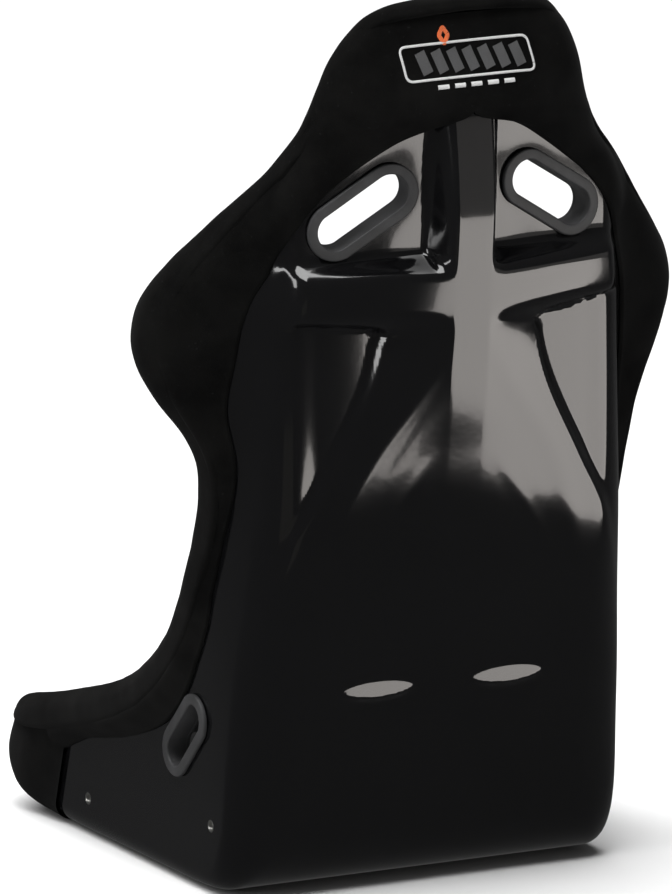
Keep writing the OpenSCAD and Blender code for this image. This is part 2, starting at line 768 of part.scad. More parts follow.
shell();
side_plate(1);  // side_plate_left
side_plate(-1);  // side_plate_right
side_insert(1, front_insert_y, front_insert_z);  // side_insert_left_front
side_insert(1, rear_insert_y, rear_insert_z);  // side_insert_left_rear
side_insert(-1, front_insert_y, front_insert_z);  // side_insert_right_front
side_insert(-1, rear_insert_y, rear_insert_z);  // side_insert_right_rear
shoulder_trim_rear(1);  // shoulder_trim_rear_left
shoulder_trim_rear(-1);  // shoulder_trim_rear_right
shoulder_trim_front(1);  // shoulder_trim_front_left
shoulder_trim_front(-1);  // shoulder_trim_front_right
lap_trim_outer(1);  // lap_trim_outer_left
lap_trim_outer(-1);  // lap_trim_outer_right
lap_trim_inner(1);  // lap_trim_inner_left
lap_trim_inner(-1);  // lap_trim_inner_right
crotch_trim();
rim_foam();
rim_cover();
rear_leaf(1);  // rear_leaf_left
rear_leaf(-1);  // rear_leaf_right
head_leaf();
front_leaf();
lining_foam();
lining_cloth();
seat_cushion_foam();
seat_cushion_cover();
back_cushion_foam();
back_cushion_cover();
head_pad_foam();
head_pad_cover();
thigh_bolster(1);  // thigh_bolster_left
thigh_bolster(-1);  // thigh_bolster_right
torso_bolster(1);  // torso_bolster_left
torso_bolster(-1);  // torso_bolster_right
cushion_strips();
head_emblem();
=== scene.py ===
# %% [markdown]
# # A fixed-back racing seat
# The real seat is a bucket of glass fibre with a gloss black gelcoat. Fabric over foam wraps its
# edge, lines its inside and covers the back of the head, and harness slots with plastic trims go
# right through it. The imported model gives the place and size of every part. This lesson rebuilds
# the parts that show with finer shapes and gives every part its finish.

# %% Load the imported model
import math

import bpy
import numpy as np
from mathutils import Matrix, Vector
from mathutils.bvhtree import BVHTree


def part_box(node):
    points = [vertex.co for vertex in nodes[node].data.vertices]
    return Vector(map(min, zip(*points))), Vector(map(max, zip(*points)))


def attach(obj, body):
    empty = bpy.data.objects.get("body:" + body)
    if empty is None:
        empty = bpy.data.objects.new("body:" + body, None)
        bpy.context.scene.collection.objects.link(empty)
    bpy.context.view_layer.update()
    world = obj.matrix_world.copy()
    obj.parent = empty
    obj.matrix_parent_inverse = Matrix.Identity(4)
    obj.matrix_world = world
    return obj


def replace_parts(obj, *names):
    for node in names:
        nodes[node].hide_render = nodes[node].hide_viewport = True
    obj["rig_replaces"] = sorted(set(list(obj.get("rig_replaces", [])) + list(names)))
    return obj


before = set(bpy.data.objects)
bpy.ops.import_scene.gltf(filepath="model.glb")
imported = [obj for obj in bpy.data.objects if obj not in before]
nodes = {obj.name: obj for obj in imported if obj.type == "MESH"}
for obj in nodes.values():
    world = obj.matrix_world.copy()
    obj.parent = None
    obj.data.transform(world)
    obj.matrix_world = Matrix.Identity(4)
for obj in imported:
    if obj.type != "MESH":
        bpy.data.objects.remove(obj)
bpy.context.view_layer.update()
BODY = "root"
MM = 0.001
scene = bpy.context.scene
scene.tool_settings.mesh_select_mode = (False, False, True)
print("parts in the frame:", len(nodes))

# %% [markdown]
# ## Small tools for meshes
# Operators act on everything that is selected, and loading leaves the parts selected. So a tool
# that calls one first clears the selection and picks its own piece. A modifier is applied at once,
# so that the mesh that is kept is the mesh that is seen.

# %% Pick a piece, apply a modifier, lay a grid


def pick(*pieces):
    """Selects only these pieces and makes the first one active."""
    bpy.ops.object.select_all(action="DESELECT")
    for piece in pieces:
        piece.select_set(True)
    bpy.context.view_layer.objects.active = pieces[0]


def apply(piece, kind, **settings):
    """Adds a modifier with these settings and applies it."""
    pick(piece)
    modifier = piece.modifiers.new(kind.lower(), kind)
    for name, value in settings.items():
        setattr(modifier, name, value)
    bpy.ops.object.modifier_apply(modifier=modifier.name)
    return piece


def new_piece(name, points, faces):
    """A mesh from points in metres and faces."""
    mesh = bpy.data.meshes.new(name)
    mesh.from_pydata([tuple(p) for p in points], [], [tuple(f) for f in faces])
    mesh.validate()
    piece = bpy.data.objects.new(name, mesh)
    scene.collection.objects.link(piece)
    return piece


def grid_faces(rows, cols, closed=False):
    """Quads of a grid of points, closed in its first direction for a loop of rows."""
    last = rows if closed else rows - 1
    return [
        (i * cols + j, i * cols + j + 1, (i + 1) % rows * cols + j + 1, (i + 1) % rows * cols + j)
        for i in range(last)
        for j in range(cols - 1)
    ]


def smooth(piece, angle=40):
    """Smooth shading, with edges sharper than the angle kept crisp."""
    pick(piece)
    bpy.ops.object.shade_smooth_by_angle(angle=math.radians(angle))


def coordinates(mesh):
    """The points of a mesh as an array."""
    flat = np.empty(len(mesh.vertices) * 3)
    mesh.vertices.foreach_get("co", flat)
    return flat.reshape(-1, 3)


def move_points(piece, points):
    """Gives a piece new places for its points."""
    piece.data.vertices.foreach_set("co", np.asarray(points, float).ravel())
    piece.data.update()


def outward(piece):
    """Merges doubles and turns every face outwards."""
    pick(piece)
    bpy.ops.object.mode_set(mode="EDIT")
    bpy.ops.mesh.select_all(action="SELECT")
    bpy.ops.mesh.remove_doubles(threshold=0.02 * MM)
    bpy.ops.mesh.normals_make_consistent(inside=False)
    bpy.ops.object.mode_set(mode="OBJECT")


def grid_piece(name, points, closed=False):
    """A piece from a grid of points in metres, with its faces turned outwards."""
    piece = new_piece(name, points.reshape(-1, 3), grid_faces(*points.shape[:2], closed))
    outward(piece)
    return piece


# %% [markdown]
# ## The form of the seat
# Every layer of the seat follows one surface, the outside of the moulded skin. It is drawn as a
# run of stations, from the front lip (0) under the pan and up the back to the head (20). Each
# station is a U: a flat bottom, a bend, and a wall that reaches the edge. A place on the surface
# is a station and a part of the half section, from 0 in the middle to 1 at the edge. A gloss
# surface shows every kink, so the guide curves are sampled and softened before they are used.

# %% Guide tables of the skin, in millimetres
BACK = [  # station, Y, Z
    (0, -346, 92), (1, -352, 60), (2, -334, 24), (3, -282, 3), (4, -200, 0), (5, -60, 0),
    (6, 60, 0), (7, 110, 10), (8, 140, 42), (9, 151, 100), (10, 161, 170), (11, 173, 245),
    (12, 187, 325), (13, 197, 400), (14, 200, 470), (15, 200, 545), (16, 200, 625),
    (17, 201, 710), (18, 208, 790), (19, 212, 860), (20, 200, 905),
]
EDGE = [  # station, X, Y, Z
    (0, 184, -340, 91), (1, 211, -322, 100), (2, 220, -288, 110), (3, 220, -232, 124),
    (4, 220, -180, 140), (5, 220, -105, 163), (6, 220, -48, 190), (7, 220, -14, 214),
    (8, 220, 16, 240), (9, 220, 42, 275), (10, 220, 62, 320), (11, 219, 82, 368),
    (12, 219, 97, 418), (13, 224, 98, 462), (14, 240, 80, 505), (15, 262, 68, 548),
    (16, 268, 70, 595), (17, 215, 110, 672), (18, 150, 160, 765), (19, 127, 178, 850),
    (20, 92, 190, 893),
]
BOTTOM = [  # station, half width, corner radius, crown
    (0, 166, 24, 0), (1, 206, 24, 0), (2, 217, 24, 0), (3, 220, 24, 0), (6, 220, 24, 0),
    (7, 220, 26, 0), (8, 220, 46, 0), (9, 218, 56, 2), (10, 214, 56, 4), (11, 207, 52, 10),
    (12, 201, 44, 16), (13, 195, 32, 20), (14, 191, 28, 20), (15, 188, 26, 20),
    (16, 186, 28, 20), (17, 176, 36, 22), (18, 140, 34, 18), (19, 123, 26, 14), (20, 76, 20, 6),
]
WINDOW = [  # station, part of the half section where the bare skin ends
    (0, 0.9), (2, 0.8), (2.4, 0.8), (3, 0.84), (4, 0.9), (5, 0.93), (8, 0.93), (9, 0.91),
    (10, 0.89), (11, 0.91), (12, 0.86), (13, 0.83), (14, 0.84), (15, 0.79), (16, 0.745),
    (16.5, 0.67), (17, 0.56), (17.4, 0.46), (17.7, 0.36), (17.9, 0.26), (18.02, 0.12),
    (18.06, 0.0), (20, 0.0),
]
ROLL = [  # place, reach outwards, rise at the rear, rise at the front, lap
    (-1, 12, 14, 15, 8), (0, 16, 18, 15, 10), (1, 17, 19, 15, 12), (3, 15, 18, 15, 20),
    (8, 14, 16, 14, 24), (11, 16, 13, 14, 24), (13, 16, 20, 14, 24), (14, 20, 30, 15, 24),
    (15, 24, 36, 16, 24), (16, 24, 36, 16, 24), (17, 18, 26, 16, 24), (18, 10, 16, 15, 16),
    (19, 9, 13, 15, 12), (20, 9, 14, 15, 10), (21, 8, 12, 15, 8),
]
SKIN, CLOTH, LINING, LEAF_GAP = 4, 2, 10.3, 0.8
FLAT_END, WALL_START = 0.5, 0.7
SOFTNESS = 0.3  # of a station
SAMPLES = 2401

# %% Curves and the skin surface


def ease(v):
    v = np.clip(v, 0, 1)
    return v * v * (3 - 2 * v)


def blend(a, b, f):
    return a + (b - a) * f


def unit(v):
    return v / np.linalg.norm(v, axis=-1, keepdims=True)


def soften(rows, width):
    """Averages rows with their neighbours, by a bell curve width rows wide."""
    reach = int(3 * width) + 1
    bell = np.exp(-0.5 * (np.arange(-reach, reach + 1) / width) ** 2)
    before, after = rows[reach:0:-1], rows[-2:-reach - 2:-1]
    padded = np.concatenate([2 * rows[0] - before, rows, 2 * rows[-1] - after])
    return np.stack([np.convolve(c, bell / bell.sum(), "valid") for c in padded.T], axis=1)


def curve(table, softness=SOFTNESS):
    """A smooth curve through the rows of a table, as a function of its first column."""
    g = np.array(table, float)
    slopes = np.array([
        (g[min(k + 1, len(g) - 1)] - g[max(k - 1, 0)])
        / (g[min(k + 1, len(g) - 1)][0] - g[max(k - 1, 0)][0])
        for k in range(len(g))
    ])
    place = np.linspace(g[0, 0], g[-1, 0], SAMPLES)
    k = np.clip(np.searchsorted(g[:, 0], place, "right") - 1, 0, len(g) - 2)
    h = (g[k + 1, 0] - g[k, 0])[:, None]
    f = (place[:, None] - g[k, 0:1]) / h
    rows = (
        (2 * f**3 - 3 * f**2 + 1) * g[k] + (f**3 - 2 * f**2 + f) * h * slopes[k]
        + (3 * f**2 - 2 * f**3) * g[k + 1] + (f**3 - f**2) * h * slopes[k + 1]
    )[:, 1:]
    if softness:
        rows = soften(rows, softness / (place[1] - place[0]))
    return lambda s: np.stack([np.interp(s, place, c) for c in rows.T], axis=-1)


back_at, edge_at, bottom_at = curve(BACK), curve(EDGE), curve(BOTTOM)
roll_at, window_at = curve(ROLL), curve(WINDOW, 0.05)


def bare_skin(s, t):
    """Points of the skin without its relief, in millimetres, for stations s and parts t."""
    s, t = np.broadcast_arrays(np.asarray(s, float), np.asarray(t, float))
    (y, z), (ex, ey, ez), (half, radius, crown) = [
        np.moveaxis(at(s), -1, 0) for at in (back_at, edge_at, bottom_at)
    ]
    z = np.maximum(0, z)
    depth = np.hypot(ey - y, ez - z)
    lean = np.arctan2(depth, ex - half)
    radius = np.minimum(radius, 0.6 * depth)
    tangent = radius * np.tan(lean / 2)
    part = np.abs(t)
    turn = np.clip((part - FLAT_END) / (WALL_START - FLAT_END), 0, 1) * lean
    wall = np.clip((part - WALL_START) / (1 - WALL_START), 0, 1)
    rise = np.hypot(depth, ex - half) - tangent
    run = tangent + wall * rise
    across = np.where(
        part < FLAT_END, part / FLAT_END * (half - tangent),
        np.where(
            part < WALL_START, half - tangent + radius * np.sin(turn), half + run * np.cos(lean)
        ),
    )
    bend = radius * (1 - np.cos(turn))
    up = np.where(part < FLAT_END, 0, np.where(part < WALL_START, bend, run * np.sin(lean)))
    # on a wall under three crowns long, the crown fades more evenly, to keep it from folding back
    short = np.clip(3 * crown / np.maximum(rise, 1) - 1, 0, 1)
    up = up + crown * np.minimum(1, (across / half) ** 2) * (1 - blend(ease(wall), wall, short))
    return np.stack([
        np.sign(t) * across, y + (ey - y) / depth * up, z + (ez - z) / depth * up
    ], axis=-1)


print("head top of the bare skin:", bare_skin(20, 0).round(1))

# %% [markdown]
# ## The relief of the back
# The back is stiffened by its shape. A spine runs down from the head, a roof-like body falls away
# from it to each side, pockets surround the harness slots, and below them a level shelf and two
# three-cornered panels are pressed in, each with a rib at its outer side. Lower down the surface
# has faint ridges and two small lens-shaped beads. Each feature is a height over the skin, drawn
# with eased steps, because a mould needs rounded edges.

# %% Heights of the relief, in millimetres
RIDGE = [  # Z, height of the spine
    (200, 0), (260, 3), (330, 8), (451, 16), (540, 26), (640, 34), (706, 37), (794, 22),
    (850, 4), (880, 0),
]
BODY_EDGE = [  # Z, half width of the raised body
    (250, 205), (365, 172), (435, 136), (511, 97), (564, 82), (588, 84), (604, 172), (660, 178),
]
CREASE = [(262, 176), (304, 150), (432, 110), (543, 38), (600, 20)]  # Z, half width at the fold
POCKET_Z, POCKET_FILLET = 636, 24
SPINE_HALF, SPINE_SIDE, COVER_SIDE, PANEL_STEP, ROOF_FALL = 19, 22, 120, 15, 0.5
RIB_X, RIB_WIDE, RIB_HIGH = 172, 24, 0.6
PANEL_TOP, PANEL_LOW, PANEL_TILT = 596, 372, 0.8
FOLD_WIDE, FOLD_HIGH, FAINT_WIDE, FAINT_HIGH = 14, 0.7, 9, 0.25
BEAD_Z, BEAD_X, BEAD_LONG, BEAD_TALL, BEAD_SLOPE, BEAD_FOOT = 212, 72, 40, 17, 0.22, 6

ridge_at, body_at, crease_at = [curve(g, 4) for g in (RIDGE, BODY_EDGE, CREASE)]


def in_pocket(x, z):
    """Runs to 1 in the pockets round the harness slots."""
    return ease((z - POCKET_Z) / POCKET_FILLET) * ease((np.abs(x) - SPINE_HALF) / SPINE_SIDE)


def relief(x, z, side=SPINE_SIDE):
    """Height of the moulded relief over the skin, towards the rear."""
    a = np.abs(x)
    ridge = np.maximum(0, ridge_at(np.clip(z, 200, 880))[..., 0]) * (z > 200)
    spine = 1 - ease((a - SPINE_HALF) / side)
    level = np.clip(z, 250, 660)
    reach = body_at(level)[..., 0]
    slope = body_at(level + 1)[..., 0] - body_at(level - 1)[..., 0]
    past = ease((a - reach) / np.hypot(1, slope / 2) / PANEL_STEP)
    roof = 1 - ROOF_FALL * np.clip((a - SPINE_HALF) / (reach - SPINE_HALF), 0, 1)
    height = ridge * blend(roof * (1 - past), spine, ease((z - POCKET_Z) / POCKET_FILLET))
    panel = ease((z - PANEL_LOW) / 60) * (1 - ease((z - PANEL_TOP) / 14))
    height = height + RIB_HIGH * panel * ease((a - RIB_X + RIB_WIDE) / RIB_WIDE)
    tilt = np.clip((PANEL_TOP - z) / (PANEL_TOP - PANEL_LOW), 0, 1)
    inside = past * (1 - ease((a - RIB_X + RIB_WIDE) / RIB_WIDE))
    height = height - PANEL_TILT * panel * tilt * inside
    fold = np.exp(-((a - crease_at(np.clip(z, 262, 600))[..., 0]) / FOLD_WIDE) ** 2)
    height = height + FOLD_HIGH * fold * ease((z - 262) / 60) * (1 - ease((z - 520) / 60))
    faint = np.exp(-((a - blend(165, 34, np.clip((z - 250) / 205, 0, 1))) / FAINT_WIDE) ** 2)
    height = height + FAINT_HIGH * faint * ease((z - 240) / 40) * (1 - ease((z - 420) / 50))
    lens = np.clip(1 - ((a - BEAD_X) / BEAD_LONG) ** 2, 0, 1)
    tall = BEAD_TALL * lens**0.6
    above = z - (BEAD_Z - tall / 2)
    fall = BEAD_SLOPE * np.clip(tall - np.maximum(above, 0), 0, None)
    return height + fall * ease(1 + np.minimum(above, 0) / BEAD_FOOT)


print("spine height at the slots:", float(relief(np.array(0.0), np.array(706.0))))

# %% [markdown]
# ## Where the slots are
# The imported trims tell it. The flat ring inside each slot has its longest spread along the slot
# and its smallest across its thickness, so the main directions of its points are the slot's own.
# The outer trim then says where the skin is under it.

# %% Frames of the four slots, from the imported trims
RING_THICK, RING_WIDE = 5 * MM, 11 * MM


class Slot:
    """Centre on the skin, long, short and outward direction, and the size of the opening."""

    def __init__(self, centre, long, short, out, length, width):
        self.centre, self.long, self.short, self.out = centre, long, short, out
        self.length, self.width = length, width


def slot_frame(ring, trim):
    """The slot that a flat ring and the trim on its other side belong to."""
    points = coordinates(nodes[ring].data)
    centre = (points.max(0) + points.min(0)) / 2
    outer = coordinates(nodes[trim].data)
    _, _, axes = np.linalg.svd(points - points.mean(0), full_matrices=False)
    long, short, out = axes
    away = (outer.max(0) + outer.min(0)) / 2 - centre
    out = out * np.sign(out @ away)
    long = long * (np.sign(long[0]) if abs(long[0]) > 0.3 else np.sign(long[2]))
    reach = ((outer - centre) @ out).max() - RING_THICK
    size = [2 * np.abs((points - centre) @ axis).max() - 2 * RING_WIDE for axis in (long, short)]
    return Slot(centre + out * reach, long, np.cross(out, long), out, *size)


SLOTS = {
    "shoulder_left": slot_frame("shoulder_trim_front_left", "shoulder_trim_rear_left"),
    "shoulder_right": slot_frame("shoulder_trim_front_right", "shoulder_trim_rear_right"),
    "lap_left": slot_frame("lap_trim_inner_left", "lap_trim_outer_left"),
    "lap_right": slot_frame("lap_trim_inner_right", "lap_trim_outer_right"),
}
for name, slot in SLOTS.items():
    opening = [round(v / MM) for v in (slot.length, slot.width)]
    print(name, "centre", (slot.centre / MM).round(0), "opening", opening)

# %% Layers of the seat: points a distance in from the outer skin
SEAT_FLAT, SEAT_FADE = 3, 40
POCKET_SLOT = SLOTS["shoulder_left"]


def skin(s, t, side=SPINE_SIDE):
    """Points of the outer skin with its relief. The pocket floors run level with the slot trims."""
    s, t = np.broadcast_arrays(np.asarray(s, float), np.asarray(t, float))
    p = bare_skin(s, t)
    fade = (1 - ease((np.abs(t) - FLAT_END) / (WALL_START - FLAT_END))) * (p[..., 1] > 0)
    q = p.copy()
    q[..., 0] = np.abs(p[..., 0])
    q[..., 1] += relief(p[..., 0], p[..., 2], side) * fade
    slot = POCKET_SLOT
    d = q - slot.centre / MM
    along = np.maximum(0, np.abs(d @ slot.long) - (slot.length - slot.width) / 2 / MM)
    far = np.hypot(along, d @ slot.short)
    level = 1 - ease((far - slot.width / 2 / MM - RING_WIDE / MM - SEAT_FLAT) / SEAT_FADE)
    bare = d.copy()
    bare[..., 1] += p[..., 1] - q[..., 1]
    floor = in_pocket(p[..., 0], p[..., 2]) * level * (p[..., 1] > 0)
    lift = -(bare @ slot.out) / slot.out[1] * floor
    return np.stack([p[..., 0], q[..., 1] + lift, p[..., 2]], axis=-1)


NEAR = 0.04


def inward_normal(s, t, side=SPINE_SIDE):
    """Unit directions into the seat from the skin."""
    s, t = np.broadcast_arrays(np.clip(s, 0.3, 19.7), np.clip(t, -0.97, 0.97))
    return unit(np.cross(
        skin(s, t + NEAR, side) - skin(s, t - NEAR, side),
        skin(s + NEAR, t, side) - skin(s - NEAR, t, side)))


def layer_points(s, t, inwards, side=SPINE_SIDE):
    """Points that lie a distance in from the outer skin, in metres."""
    return (skin(s, t, side) + np.asarray(inwards)[..., None] * inward_normal(s, t, side)) * MM


def edge_part(s, away):
    """Part of the half section that lies a distance in from the edge of the skin."""
    (y, z), (ex, ey, ez), (half, radius, _) = [
        np.moveaxis(at(s), -1, 0) for at in (back_at, edge_at, bottom_at)
    ]
    depth = np.hypot(ey - y, ez - np.maximum(0, z))
    lean = np.arctan2(depth, ex - half)
    radius = np.minimum(radius, 0.6 * depth)
    wall = np.hypot(depth, ex - half) - radius * np.tan(lean / 2)
    on_wall = 1 - (1 - WALL_START) * away / wall
    in_bend = WALL_START - (WALL_START - FLAT_END) * np.minimum(1, (away - wall) / (radius * lean))
    return np.where(away < wall, on_wall, in_bend)


def even(*stops):
    """Even steps between stops, given as start, then pairs of a stop and a count."""
    line = [float(stops[0])]
    for stop, count in zip(stops[1::2], stops[2::2]):
        line += [line[-1] + (stop - line[-1]) * i / count for i in range(1, count + 1)]
    return np.array(line)


def both_sides(half):
    """Parts of the whole section, from those of one half."""
    return np.concatenate([-half[:0:-1], half])


def up_to(t, stop):
    """Parts of the section with their wall squeezed to end at stop."""
    wall = np.clip((np.abs(t) - WALL_START) / (1 - WALL_START), 0, 1)
    reach = np.maximum(stop - WALL_START, 0.02)
    return np.sign(t) * (np.minimum(np.abs(t), WALL_START) + wall * reach)


print("depth of the skin at the slots:", round(float(skin(17, 0.3)[1])))

# %% [markdown]
# ## Finishes
# Each finish is a small shader. A class wraps a socket so that sums and products read like sums,
# and one method makes any other node. Only colour, roughness and the bump vary over a surface;
# what is the same all over is set on the shader itself.

# %% Sockets that add up, and a finish


class Socket:
    """An output in a material's tree. Arithmetic on it adds Math nodes."""

    def __init__(self, paint, output):
        self.paint, self.output = paint, output

    def math(self, operation, a, b=0.0):
        return self.paint.node("ShaderNodeMath", {"operation": operation}, {0: a, 1: b})

    def __add__(self, other):
        return self.math("ADD", self, other)

    __radd__ = __add__

    def __mul__(self, other):
        return self.math("MULTIPLY", self, other)

    __rmul__ = __mul__


class Finish:
    """A material with one Principled shader, whose fixed sockets are given by name."""

    def __init__(self, name, **fixed):
        self.material = bpy.data.materials.new(name)
        self.material.use_nodes = True
        self.tree = self.material.node_tree
        self.shader = self.tree.nodes["Principled BSDF"]
        for key, value in fixed.items():
            self.shader.inputs[key.replace("_", " ")].default_value = value
        self.place = self.node("ShaderNodeTexCoord", output="Object")

    def node(self, kind, settings=None, sockets=None, output=0):
        made = self.tree.nodes.new(kind)
        for key, value in (settings or {}).items():
            if key == "stops":
                while len(made.color_ramp.elements) < len(value):
                    made.color_ramp.elements.new(0.5)
                for element, (at, shade) in zip(made.color_ramp.elements, value):
                    element.position, element.color = at, (*shade, 1)
            else:
                setattr(made, key, value)
        for key, value in (sockets or {}).items():
            if isinstance(value, Socket):
                self.tree.links.new(value.output, made.inputs[key])
            else:
                made.inputs[key].default_value = value
        return Socket(self, made.outputs[output])

    def noise(self, scale, detail=2.0, roughness=0.5, vector=None):
        return self.node("ShaderNodeTexNoise", None, {
            "Vector": vector or self.place, "Scale": scale, "Detail": detail, "Roughness": roughness,
        })

    def stretched(self, scale):
        """Object coordinates multiplied along each axis."""
        return self.node("ShaderNodeMapping", None, {"Vector": self.place, "Scale": scale})

    def step(self, value, low, high):
        """Runs from 0 to 1 as the value goes from low to high."""
        return self.node("ShaderNodeMapRange", {"interpolation_type": "SMOOTHSTEP"}, {
            "Value": value, "From Min": low, "From Max": high,
        })

    def mix(self, factor, a, b):
        """Mixes two colours, each given as a socket or as three numbers."""
        a, b = [(*c, 1) if isinstance(c, tuple) else c for c in (a, b)]
        return self.node("ShaderNodeMix", {"data_type": "RGBA"}, {0: factor, 6: a, 7: b}, output=2)

    def use(self, **varying):
        """Links sockets to the shader, by name."""
        for key, value in varying.items():
            self.tree.links.new(value.output, self.shader.inputs[key.replace("_", " ")])
        return self

    def bump(self, height, distance, strength=1.0):
        made = self.node("ShaderNodeBump", None, {
            "Height": height, "Distance": distance, "Strength": strength,
        })
        return self.use(Normal=made)


# %% [markdown]
# ### Gelcoat, fabric, moulded plastic, zinc and thread
# Gelcoat is a smooth black with the faint ripple of its mould and a little dust and haze. The
# fabric is a short brushed pile: fine tufts in the bump, broad strokes in the colour, and a sheen
# at its grazing edges. The trims are moulded with a fine spark grain.

# %% Make the finishes


def gelcoat():
    paint = Finish(
        "gloss_gelcoat", Specular_IOR_Level=0.5, IOR=1.5, Coat_Weight=0.35, Coat_Roughness=0.03
    )
    haze = paint.noise(7, 4, 0.6)
    dust = paint.step(paint.noise(900, 2, 0.6), 0.66, 0.78)
    swirls = paint.noise(60, 5, 0.7, paint.stretched((1, 1, 0.15)))
    film = haze * 0.6 + dust * 0.3
    paint.use(
        Base_Color=paint.mix(film, (0.0022, 0.0022, 0.0026), (0.0052, 0.0051, 0.0054)),
        Roughness=0.055 + haze * 0.05 + swirls * 0.035 + dust * 0.12,
    )
    ripple = paint.noise(150, 2, 0.4) + 0.5 * paint.noise(38, 1, 0.3)
    return paint.bump(ripple, 0.06 * MM, 0.35).material


def pile_fabric(name, dark, light, lint):
    paint = Finish(name, Specular_IOR_Level=0.04, Sheen_Weight=0.02, Sheen_Roughness=0.45)
    tufts = paint.noise(1500, 3, 0.65)
    rows = paint.noise(650, 2, 0.5, paint.stretched((1, 0.35, 1)))
    strokes = paint.noise(16, 4, 0.6)
    fluff = paint.step(paint.noise(420, 1, 0.4), 0.72, 0.8)
    shade = 0.55 * strokes + 0.45 * tufts
    cloth = paint.mix(paint.step(shade, 0.3, 0.7), dark, light)
    paint.use(
        Base_Color=paint.mix(fluff * 0.5, cloth, lint),
        Roughness=0.86 + 0.12 * tufts,
    )
    return paint.bump(tufts * 0.6 + rows * 0.4 + strokes * 0.5, 0.45 * MM, 0.8).material


def spark_plastic():
    paint = Finish("satin_moulding", Specular_IOR_Level=0.45)
    grain = paint.noise(1900, 2, 0.6)
    wear = paint.noise(35, 4, 0.6)
    worn = paint.step(wear, 0.35, 0.7)
    paint.use(
        Base_Color=paint.mix(worn, (0.034, 0.034, 0.035), (0.05, 0.05, 0.052)),
        Roughness=0.42 + 0.12 * wear + 0.06 * grain,
    )
    return paint.bump(grain, 0.12 * MM, 0.5).material


def metal(name, dark, light, roughness, scratch):
    paint = Finish(name, Metallic=1.0)
    lines = paint.noise(300, 3, 0.6, paint.stretched((0.2, 1, 1)))
    cloud = paint.noise(90, 3, 0.6)
    paint.use(
        Base_Color=paint.mix(0.6 * cloud + 0.4 * lines, dark, light),
        Roughness=roughness + 0.18 * cloud + 0.08 * lines,
    )
    return paint.bump(lines, scratch, 0.4).material


def thread(name, dark, light, turn):
    """Satin stitch: fine parallel strands that lie across the stroke."""
    paint = Finish(name, Specular_IOR_Level=0.4, Sheen_Weight=0.2)
    slope = paint.node("ShaderNodeMapping", None, {"Vector": paint.place, "Rotation": (0, turn, 0)})
    strands = paint.node("ShaderNodeTexWave", {"bands_direction": "X"}, {
        "Vector": slope, "Scale": 620.0, "Distortion": 1.2, "Detail": 1.0, "Detail Scale": 40.0,
    }, output="Fac")
    fray = paint.noise(800, 2, 0.6)
    paint.use(
        Base_Color=paint.mix(0.65 * strands + 0.35 * fray, dark, light),
        Roughness=0.5 + 0.2 * fray,
    )
    return paint.bump(strands, 0.25 * MM, 0.7).material


def grey(shade):
    return (shade, shade, shade)


GELCOAT = gelcoat()
FABRIC = pile_fabric("brushed_fabric", grey(0.0015), (0.0062, 0.0061, 0.0058), grey(0.02))
CUSHION = pile_fabric("cushion_fabric", (0.006, 0.006, 0.0062), (0.016, 0.016, 0.0158), grey(0.03))
HOOK = pile_fabric("hook_tape", grey(0.008), grey(0.02), grey(0.05))
TRIM = spark_plastic()
ZINC = metal("bright_zinc", (0.5, 0.49, 0.45), (0.82, 0.82, 0.8), 0.22, 0.03 * MM)
STEEL = metal("mill_steel", (0.2, 0.2, 0.21), (0.4, 0.4, 0.41), 0.35, 0.05 * MM)
WHITE = thread("pale_thread", grey(0.42), (0.85, 0.85, 0.84), 0.5)
GREY = thread("grey_thread", (0.03, 0.03, 0.031), (0.085, 0.085, 0.087), 0.9)
ORANGE = thread("orange_thread", (0.55, 0.07, 0.01), (0.95, 0.2, 0.04), 0.3)
print("finishes:", len(bpy.data.materials))

# %% Put a piece on the seat
made = []


def settle(piece, material, replaced=()):
    """Gives a piece its finish and joins it to the frame."""
    piece.data.materials.clear()
    piece.data.materials.append(material)
    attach(piece, BODY)
    if replaced:
        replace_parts(piece, *replaced)
    made.append(piece)
    faces = sum(len(f.vertices) - 2 for f in piece.data.polygons)
    print(f"{piece.name}: {faces} triangles")
    return piece


# %% [markdown]
# ## The gloss shell
# The real shell is laid up in a mould. Here its outside is a grid over the skin surface, finest on
# the back where the relief is. Its inside is a grid five times coarser, one wall further in, and
# faces round the edge join the two. One Boolean cuts the slots and the insert holes through it:
# the slots by round-ended prisms that are each one stretched cylinder.

# %% A prism with round ends, stretched from a cylinder
ARC = 48


def obround(name, length, width, low, high):
    """A round-ended prism along X, from low to high along Z, about the origin."""
    bpy.ops.object.select_all(action="DESELECT")
    bpy.ops.mesh.primitive_cylinder_add(
        vertices=ARC, radius=width / 2, depth=high - low, location=(0, 0, 0), end_fill_type="NGON",
        rotation=(0, 0, 0),
    )
    piece = bpy.context.active_object
    piece.name = name
    shift = (length - width) / 2
    points = coordinates(piece.data)
    points[:, 2] += (high + low) / 2
    points[:, 0] += np.where(points[:, 0] > 1e-6, shift, -shift)
    move_points(piece, points)
    return piece


def lay(piece, slot):
    """Moves a piece from its own frame into a slot's frame."""
    turn = np.column_stack([slot.long, slot.short, slot.out])
    move_points(piece, coordinates(piece.data) @ turn.T + slot.centre)
    return piece


TUNNEL = 2.5 * MM  # wall of the tunnel of a trim
CUT_REACH, CROTCH_REACH = 0.045, 0.16
CROTCH_Y = sum(c[1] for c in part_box("crotch_trim")) / 2
crotch_low, crotch_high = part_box("crotch_trim")
CROTCH_LEN = crotch_high[0] - crotch_low[0] - 2 * RING_WIDE
CROTCH_WIDE = crotch_high[1] - crotch_low[1] - 2 * RING_WIDE
SLOTS["crotch"] = Slot(
    np.array([0, CROTCH_Y, crotch_high[2] - RING_THICK]), np.array([1.0, 0, 0]),
    np.array([0, 1.0, 0]), np.array([0, 0, 1.0]), CROTCH_LEN, CROTCH_WIDE,
)


